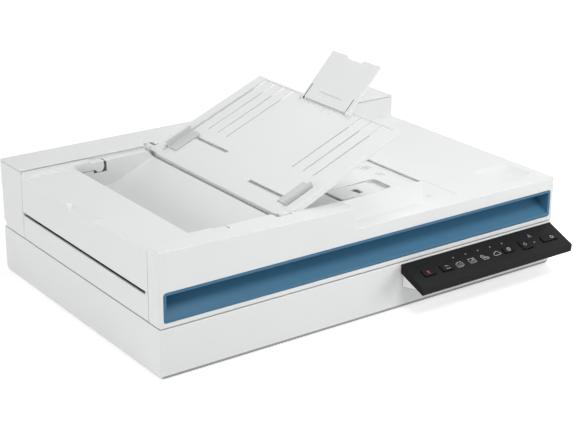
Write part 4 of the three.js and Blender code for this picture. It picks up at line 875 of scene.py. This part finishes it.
def draw(name: str, marks: Sequence[Mark], line: float, rise: float, place: Matrix) -> bpy.types.Object:
    """Draws marks as thin raised lines on a face.

    Args:
        name: The piece's name.
        marks: Each mark's strokes, its middle and its size.
        line: Half the width of a line, in millimetres.
        rise: How far it stands over the face, in millimetres.
        place: The face's place in the row frame.

    Returns:
        The new piece.
    """
    parts = []
    for strokes, x, y, size in marks:
        for stroke in strokes:
            data = bpy.data.curves.new(name, "CURVE")
            data.dimensions = "3D"
            data.bevel_depth = line
            data.bevel_resolution = 1
            data.use_fill_caps = True
            spline = data.splines.new("POLY")
            spline.points.add(len(stroke.points) - 1)
            for point, (u, v) in zip(spline.points, stroke.points):
                point.co = (x + u * size, y + v * size, 0.0, 1.0)
            spline.use_cyclic_u = stroke.closed
            part = bpy.data.objects.new(name, data)
            bpy.context.scene.collection.objects.link(part)
            parts.append(part)
    deselect()
    for part in parts:
        part.select_set(True)
    bpy.context.view_layer.objects.active = parts[0]
    bpy.ops.object.convert(target="MESH")
    piece = merge(name, list(bpy.context.selected_objects))
    with editing(piece):
        bpy.ops.mesh.select_all(action="SELECT")
        bpy.ops.mesh.remove_doubles(threshold=line / 50)
    piece.matrix_world = place @ Matrix.Diagonal((MM, MM, MM * rise / line, 1.0))
    return settle(piece)


# Sub-assemblies


@dataclass
class BaseHousing:
    """The lower box with the glass, its feet and its sockets."""

    finisher: Finisher
    shade_top: float = 1.0
    shade_deep: float = 2.0
    slack: float = 0.05
    foot_sides: int = 48
    groove: float = 1.6
    inner: float = 1.4
    sharp: float = 1.2
    rounding: float = 0.25

    def build(self) -> None:
        """Builds and dresses every piece of the base."""
        self.tub()
        self.feet()
        paint = self.finisher
        paint.keep(PALE, "platen_frame")
        paint.keep(GLASS, "platen_glass", "strip_glass")
        paint.keep(DARK, "power_jack")
        paint.keep(STEEL, "usb_socket")

    def tub(self) -> None:
        """The white tub, with painted shade: a darker grey strip along the foot of its front, where its lip faces
        down.
        """
        piece = Soft(0.8).copy("base_tub", "base_shell")
        self.finisher.stand_for(piece, WHITE, Slot.WHITE, "base_tub")
        # painted shade: the faces low along the front of the tub are grey
        edge = at(0.0, self.shade_deep, self.shade_top + self.slack)
        low = [corner.co.y < edge.y and corner.co.z < edge.z for corner in piece.data.vertices]
        self.finisher.accent(piece, UNDER_SHADE, lambda face: all(low[i] for i in face.vertices))

    def feet(self) -> None:
        """Four round rubber feet, each with a grooved sole."""
        for name in ("foot_front_left", "foot_front_right", "foot_rear_left", "foot_rear_right"):
            low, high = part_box(name)
            middle = (low + high) / 2
            deselect()
            radius = (high.x - low.x) / 2
            bpy.ops.mesh.primitive_cylinder_add(
                vertices=self.foot_sides, radius=radius, depth=high.z - low.z, location=middle
            )
            piece = bpy.context.object
            piece.name = name + "_pad"
            bpy.ops.object.transform_apply(location=True)
            sole = low.z
            with editing(piece):
                pick(piece, faces=lambda face: face.normal.z < -0.9)
                bpy.ops.mesh.inset(thickness=self.groove * MM)
                bpy.ops.mesh.inset(thickness=self.groove * MM / 2)
                bpy.ops.mesh.select_all(action="DESELECT")
                mesh = bmesh.from_edit_mesh(piece.data)
                reach = radius - self.groove * MM * self.inner
                for face in mesh.faces:
                    centre = face.calc_center_median()
                    if face.normal.z < -0.9 and len(face.verts) == 4 and (centre - middle).to_2d().length < reach:
                        face.select_set(True)
                bmesh.update_edit_mesh(piece.data)
                bpy.ops.mesh.extrude_region_move(TRANSFORM_OT_translate={"value": (0, 0, self.groove * MM / 4)})
                pick(piece, edges=lambda edge: self.on_rim(edge, sole))
                bpy.ops.mesh.bevel(offset=self.rounding * MM, segments=2, affect="EDGES")
            settle(piece)
            self.finisher.stand_for(piece, FOOT, Slot.RUBBER, name)

    def on_rim(self, edge: bmesh.types.BMEdge, sole: float) -> bool:
        """Whether an edge is a sharp outward one at the level of a foot's sole."""
        level = all(abs(corner.co.z - sole) < MM * 0.01 for corner in edge.verts)
        return level and edge.is_convex and edge.calc_face_angle(0.0) > self.sharp


@dataclass
class ScanDrive:
    """What moves under the glass, and the board."""

    finisher: Finisher

    def build(self) -> None:
        """Dresses every piece of the drive."""
        paint = self.finisher
        paint.keep(STEEL, "guide_rod")
        paint.keep(CAN_STEEL, "drive_pulley", "carriage_motor")
        paint.keep(DARK, "scan_carriage", "image_sensor")
        paint.keep(BELT, "drive_belt")
        paint.keep(NYLON, "idler_pulley")
        paint.keep(BOARD, "main_board")


@dataclass
class ControlPanel:
    """The sloped black panel, its keys, lamps and marks."""

    finisher: Finisher
    face_y: float = -0.3
    face_z: float = 46.6
    face_low: float = 32.1
    face_run: float = 35.8
    proud: float = 0.9
    mark_size: float = 1.1
    line: float = 0.3
    rise: float = 0.05
    row: float = -21.3
    marks: dict[str, tuple[tuple[Stroke, ...], float, float]] = field(
        default_factory=lambda: {
            "cancel": (CROSS, 306.1, 20.2),
            "select": (PAGE_CORNERS, 331.3, 20.9),
            "duplex": (DOUBLE_PAGE, 417.1, 21.0),
            "start": (DIAMOND, 441.4, 20.6),
            "power": (POWER, 480.7, 21.0),
        }
    )

    def face(self, lift: float = 0.0) -> Matrix:
        """The panel's own face: x to the right, y up the slope, z out of it.

        Args:
            lift: How far over the face, in millimetres.

        Returns:
            Its place, taking millimetres to the row frame's metres.
        """
        origin = at(0.0, self.face_y, self.face_z)
        slope = math.atan2(self.face_z - self.face_low, self.face_run)
        turned = Matrix.Translation(origin) @ Matrix.Rotation(slope, 4, "X")
        return turned @ Matrix.Translation((0.0, 0.0, lift * MM))

    def build(self) -> None:
        """Builds and dresses every piece of the panel."""
        paint = self.finisher
        shell = Soft(0.5).copy("panel_housing", "panel_shell")
        paint.stand_for(shell, PANEL, Slot.BLACK, "panel_housing")
        under = Soft(0.8).copy("panel_fairing", "panel_underside")
        paint.stand_for(under, WHITE, Slot.WHITE, "panel_fairing")
        # painted shade: the fairing's downward faces are grey, as in shadow
        paint.accent(under, UNDER_SHADE, lambda face: face.normal.z < -0.2)
        paint.keep(BOARD, "panel_board")
        paint.keep(LENS, "status_lenses")
        for key in self.marks:
            self.key(key)
        self.signs()

    def key(self, key: str) -> None:
        """One key cap and its mark.

        Args:
            key: The key's name.
        """
        cap = Soft(0.3, 2).copy(key + "_button", key + "_cap")
        body = self.finisher.bodies[key + "_button"]
        self.finisher.stand_for(cap, KEYCAP, Slot.KEY, key + "_button")
        strokes, x, s = self.marks[key]
        marks = [(strokes, x, -s, self.mark_size)]
        mark = draw(key + "_mark", marks, self.line, self.rise, self.face(self.proud))
        self.finisher.add(mark, RED_INK if key == "cancel" else INK, Slot.KEY, body)

    def signs(self) -> None:
        """The marks printed on the panel."""
        row = [(STACKED_PAGES, 348.0), (PICTURE, 365.5), (ENVELOPE, 382.6), (CLOUD, 400.3)]
        marks = [(strokes, x, self.row, self.mark_size) for strokes, x in row]
        marks.append((WARNING, 456.1, -10.7, self.mark_size))
        self.finisher.add(draw("panel_signs", marks, self.line, self.rise, self.face()), INK, Slot.BLACK, "base")


@dataclass
class LidShell:
    """The lid: its white cover, the rear bar's cap, the finger grip, the hinges and the backing."""

    finisher: Finisher

    def build(self) -> None:
        """Builds and dresses every piece of the lid."""
        paint = self.finisher
        paint.stand_for(Soft(0.7).copy("lid_cover", "lid_shell"), WHITE, Slot.WHITE, "lid_cover")
        paint.stand_for(Soft(0.6).copy("rear_bar_cap", "bar_cap"), WHITE, Slot.WHITE, "rear_bar_cap")
        paint.stand_for(Soft(0.5).copy("finger_grip", "blue_grip"), BLUE, Slot.BLUE, "finger_grip")
        paint.keep(PALE, "lid_frame")
        paint.keep(BACKING, "lid_pad")
        paint.keep(GREY, "hinge_post_left", "hinge_post_right")
        paint.keep(STEEL, "hinge_leaf_left", "hinge_leaf_right", "hinge_pin_left", "hinge_pin_right")


@dataclass
class OutputBay:
    """The bay that the sheets drop into, its stop and the marks moulded in its floor."""

    finisher: Finisher
    left: float = 157.5
    right: float = 372.0
    low_left: float = 88.0
    low_right: float = 95.0
    sign_line: float = 0.4
    sign_rise: float = 0.06
    lid_sign: tuple[float, float, float] = (348.0, 32.5, 97.9)
    lid_line: float = 0.25
    lid_rise: float = 0.05

    def floor(self, x: float, y: float, turn: float = 0.0) -> Matrix:
        """A place on the bay's sloped floor.

        Args:
            x: To the right, in millimetres.
            y: To the back, in millimetres.
            turn: How far a mark is turned there, in degrees.

        Returns:
            The place in the row frame.
        """
        rise = (self.low_right - self.low_left) / (self.right - self.left)
        z = self.low_left + rise * (x - self.left)
        lean = Matrix.Rotation(-math.atan(rise), 4, "Y")
        return Matrix.Translation(at(x, y, z)) @ lean @ Matrix.Rotation(math.radians(turn), 4, "Z")

    def build(self) -> None:
        """Builds and dresses every piece of the bay."""
        paint = self.finisher
        paint.stand_for(Soft(0.6).copy("output_bay", "bay_shell"), WHITE, Slot.WHITE, "output_bay")
        paint.stand_for(Soft(0.35, 2).copy("output_stop", "stop_flap"), WHITE, Slot.WHITE, "output_stop")
        for name, strokes, x, y, turn in (
            ("bay_sign_path", SHEET_PATH, 356.1, 148.1, -90.0),
            ("bay_sign_turn", TURNED_SHEET, 356.4, 123.2, -90.0),
        ):
            place = self.floor(x, y, turn)
            sign = draw(name, [(strokes, 0.0, 0.0, 1.0)], self.sign_line, self.sign_rise, place)
            # painted shade: the marks moulded in the bay's floor are drawn grey
            paint.add(sign, RELIEF_SHADE, Slot.WHITE, "lid")
        # painted shade: the mark moulded in the lid's top is drawn grey
        top = Matrix.Translation(at(*self.lid_sign))
        sign = draw("lid_sign", [(SMALL_CIRCLE, 0.0, 0.0, 1.0)], self.lid_line, self.lid_rise, top)
        paint.add(sign, RELIEF_SHADE, Slot.WHITE, "lid")


@dataclass
class Feeder:
    """The feeder's cover, its frame, rollers, gears and motor."""

    finisher: Finisher
    slot_depth: float = 4.0
    dots_place: tuple[float, float, float] = (40.0, 271.2, 122.6)
    dots_apart: float = 5.0
    dot_line: float = 0.3
    dot_rise: float = 0.05

    def build(self) -> None:
        """Builds and dresses every piece of the feeder."""
        paint = self.finisher
        paint.stand_for(Soft(0.45).copy("feeder_cover", "cover_shell"), WHITE, Slot.WHITE, "feeder_cover")
        skin = paint.stand_for(Soft(0.5).copy("side_panel", "side_skin"), WHITE, Slot.WHITE, "side_panel")
        # painted shade: two grey dots on the cover's rim
        rim = Matrix.Translation(at(*self.dots_place))
        pair = [(DOT, 0.0, 0.0, 1.0), (DOT, self.dots_apart, 0.0, 1.0)]
        dots = draw("cover_dots", pair, self.dot_line, self.dot_rise, rim)
        paint.add(dots, RELIEF_SHADE, Slot.WHITE, paint.bodies["feeder_cover"])
        deep = at(self.slot_depth, 0.0, 0.0).x
        paint.accent(skin, SHADE, lambda face: face.center.x > deep)
        paint.stand_for(Soft(0.5).copy("feeder_frame", "throat_frame"), WHITE, Slot.WHITE, "feeder_frame")
        paint.keep(CAN_STEEL, "feeder_motor")
        paint.keep(STEEL, "motor_pinion")
        paint.keep(DARK, "duplex_sensor")
        paint.keep(NYLON, "feed_shaft", "pick_shaft", "idler_gear")
        paint.keep(RUBBER, "feed_roller", "pick_roller")
        paint.keep(GREY, "exit_roller", "pinch_roller")


@dataclass
class InputTray:
    """The folding tray, its guides and its extender."""

    finisher: Finisher
    pivot: tuple[float, float, float] = (157.0, 0.0, 118.0)
    lean: float = 22.5
    groove_floor: float = -1.9
    level: float = 0.95
    slits: tuple[Point, ...] = ((111.4, 112.4), (184.7, 185.8))
    slack: float = 0.05

    def build(self) -> None:
        """Builds and dresses every piece of the tray."""
        paint = self.finisher
        shell = paint.stand_for(Soft(0.6).copy("input_tray", "tray_shell"), WHITE, Slot.WHITE, "input_tray")
        # painted shade: the groove floors are grey, as in shadow
        paint.accent(shell, GROOVE_SHADE, self.in_groove)
        flap = paint.stand_for(Soft(0.5).copy("tray_extender", "extender_flap"), WHITE, Slot.WHITE, "tray_extender")
        # painted shade: the slits' faces are dark grey, as in shadow
        paint.accent(flap, SLIT_SHADE, self.in_slit)
        for name in ("guide_front", "guide_rear"):
            paint.stand_for(Soft(0.35, 2).copy(name, name + "_blade"), PALE, Slot.PALE, name)
        paint.keep(PALE, "tray_bottom")
        paint.keep(NYLON, "guide_pinion")

    def in_groove(self, face: bpy.types.MeshPolygon) -> bool:
        """Whether a face is the floor of a groove in the tray."""
        lean = math.radians(self.lean)
        square = Vector((-math.sin(lean), 0.0, math.cos(lean)))
        height = (face.center - at(*self.pivot)).dot(square) / MM
        return height < self.groove_floor and face.normal.dot(square) > self.level

    def in_slit(self, face: bpy.types.MeshPolygon) -> bool:
        """Whether a face lies in one of the slits beside the extender's arms."""
        y = (face.center.y - at(0.0, 0.0, 0.0).y) / MM
        return any(low - self.slack < y < high + self.slack for low, high in self.slits)


@dataclass(frozen=True)
class Lamp:
    """A square soft lamp: where it stands and its side, in metres, and its power in watts."""

    name: str
    place: Colour
    size: float
    power: float


LAMPS = (
    Lamp("lamp_left", (-1.76, -0.52, 0.4), 0.7, 6.6),
    Lamp("lamp_left_front", (-1.1, -0.64, 0.27), 0.5, 1.4),
    Lamp("lamp_right", (0.82, -0.97, 0.27), 0.6, 4.5),
    Lamp("lamp_right_end", (1.25, 0.22, 0.27), 0.6, 1.6),
    Lamp("lamp_back_left", (-1.19, 1.42, 0.4), 0.7, 6.6),
    Lamp("lamp_over_right", (0.56, 0.32, 1.13), 0.7, 5.1),
    Lamp("lamp_over_front", (0.0, -0.65, 1.13), 0.5, 5.7),
)


@dataclass
class Studio:
    """A pale floor, soft lamps and the camera."""

    eye: Colour = (-0.875998, -1.209530, 0.634138)
    view: Colour = (0.54647955, 0.75820943, -0.35563824)
    up: Colour = (0.20198032, 0.29279621, 0.93459849)
    lens: float = 93.21
    film: float = 36.0
    floor_size: float = 8.0
    sky: float = 0.24
    glow: float = 0.55
    fade_from: float = 0.9
    fade_to: float = 1.8
    aim: Colour = (0.0, 0.0, 0.06)

    def build(self) -> None:
        """Builds the floor, lights the object and sets the camera."""
        self.floor()
        self.light()
        self.camera()

    def floor(self) -> None:
        """The floor, which shows white to the camera and still takes the object's shadow."""
        deselect()
        bpy.ops.mesh.primitive_plane_add(size=self.floor_size)
        floor = bpy.context.object
        floor.name = "studio_floor"
        with editing(floor):
            bpy.ops.mesh.subdivide(number_cuts=3)
        graph = Graph("studio_white")
        cloud = graph.noise(3.0, 2.0)
        tone = graph.blend(cloud, (0.78, 0.78, 0.78), (0.8, 0.8, 0.8))
        plain = graph.add("ShaderNodeBsdfDiffuse", {"Color": tone})
        away = graph.add("ShaderNodeVectorMath", {0: graph.place}, operation="LENGTH").outputs["Value"]
        strength = graph.span(away, self.glow, 1.0, self.fade_from, self.fade_to)
        glow = graph.add("ShaderNodeEmission", {"Color": (1, 1, 1, 1), "Strength": strength})
        both = graph.add("ShaderNodeAddShader", {0: plain.outputs[0], 1: glow.outputs[0]})
        path = graph.add("ShaderNodeLightPath")
        seen = self.any_of(graph, path, ("Is Camera Ray", "Is Glossy Ray", "Is Transmission Ray"))
        mixed = graph.add("ShaderNodeMixShader", {0: seen, 1: plain.outputs[0], 2: both.outputs[0]})
        graph.tree.links.new(mixed.outputs[0], graph.output.inputs[0])
        floor.data.materials.append(graph.material)

    def any_of(self, graph: Graph, path: bpy.types.ShaderNode, names: Sequence[str]):
        """Whether a ray is of any of the named kinds.

        Args:
            graph: The nodes to add to.
            path: The light path node.
            names: The kinds.

        Returns:
            0 or 1.
        """
        found = path.outputs[names[0]]
        for name in names[1:]:
            found = graph.add("ShaderNodeMath", {0: found, 1: path.outputs[name]}, operation="MAXIMUM").outputs[0]
        return found

    def light(self) -> None:
        """Soft lamps and an even white surround."""
        for lamp in LAMPS:
            self.lamp(lamp)
        world = bpy.data.worlds.new("studio_sky")
        world.use_nodes = True
        nodes, links = world.node_tree.nodes, world.node_tree.links
        nodes.clear()
        path = nodes.new("ShaderNodeLightPath")
        seen = path.outputs["Is Camera Ray"]
        for name in ("Is Glossy Ray", "Is Transmission Ray"):
            either = nodes.new("ShaderNodeMath")
            either.operation = "MAXIMUM"
            links.new(seen, either.inputs[0])
            links.new(path.outputs[name], either.inputs[1])
            seen = either.outputs[0]
        sky, bright, mix = (nodes.new(kind) for kind in ("ShaderNodeBackground",) * 2 + ("ShaderNodeMixShader",))
        sky.inputs["Color"].default_value = bright.inputs["Color"].default_value = (1, 1, 1, 1)
        sky.inputs["Strength"].default_value = self.sky
        bright.inputs["Strength"].default_value = 1.0
        links.new(seen, mix.inputs[0])
        links.new(sky.outputs[0], mix.inputs[1])
        links.new(bright.outputs[0], mix.inputs[2])
        links.new(mix.outputs[0], nodes.new("ShaderNodeOutputWorld").inputs[0])
        bpy.context.scene.world = world

    def lamp(self, lamp: Lamp) -> None:
        """Puts one lamp in its place, turned to the object."""
        data = bpy.data.lights.new(lamp.name, "AREA")
        data.size = lamp.size
        data.energy = lamp.power
        holder = bpy.data.objects.new(lamp.name, data)
        bpy.context.scene.collection.objects.link(holder)
        spot = Vector(lamp.place)
        turned = (Vector(self.aim) - spot).to_track_quat("-Z", "Y").to_matrix().to_4x4()
        holder.matrix_world = Matrix.Translation(spot) @ turned

    def camera(self) -> None:
        """The camera at the photograph's view."""
        data = bpy.data.cameras.new("photo_camera")
        data.sensor_fit = "HORIZONTAL"
        data.sensor_width = self.film
        data.lens = self.lens
        data.clip_start, data.clip_end = 0.01, 50.0
        camera = bpy.data.objects.new("photo_camera", data)
        bpy.context.scene.collection.objects.link(camera)
        back, upward = -Vector(self.view), Vector(self.up)
        right = upward.cross(back).normalized()
        turned = Matrix((right, back.cross(right), back)).transposed().to_4x4()
        camera.matrix_world = Matrix.Translation(self.eye) @ turned
        bpy.context.scene.camera = camera


def main() -> None:
    """Builds every sub-assembly in order and the studio round them."""
    logging.basicConfig(level=logging.INFO, format="%(message)s")
    finisher = Finisher()
    for assembly in (BaseHousing, ScanDrive, ControlPanel, LidShell, OutputBay, Feeder, InputTray):
        LOG.info("building %s", assembly.__name__)
        assembly(finisher).build()
    Studio().build()
    scene = bpy.context.scene
    scene.view_settings.view_transform = "Standard"


if __name__ == "__main__":
    main()
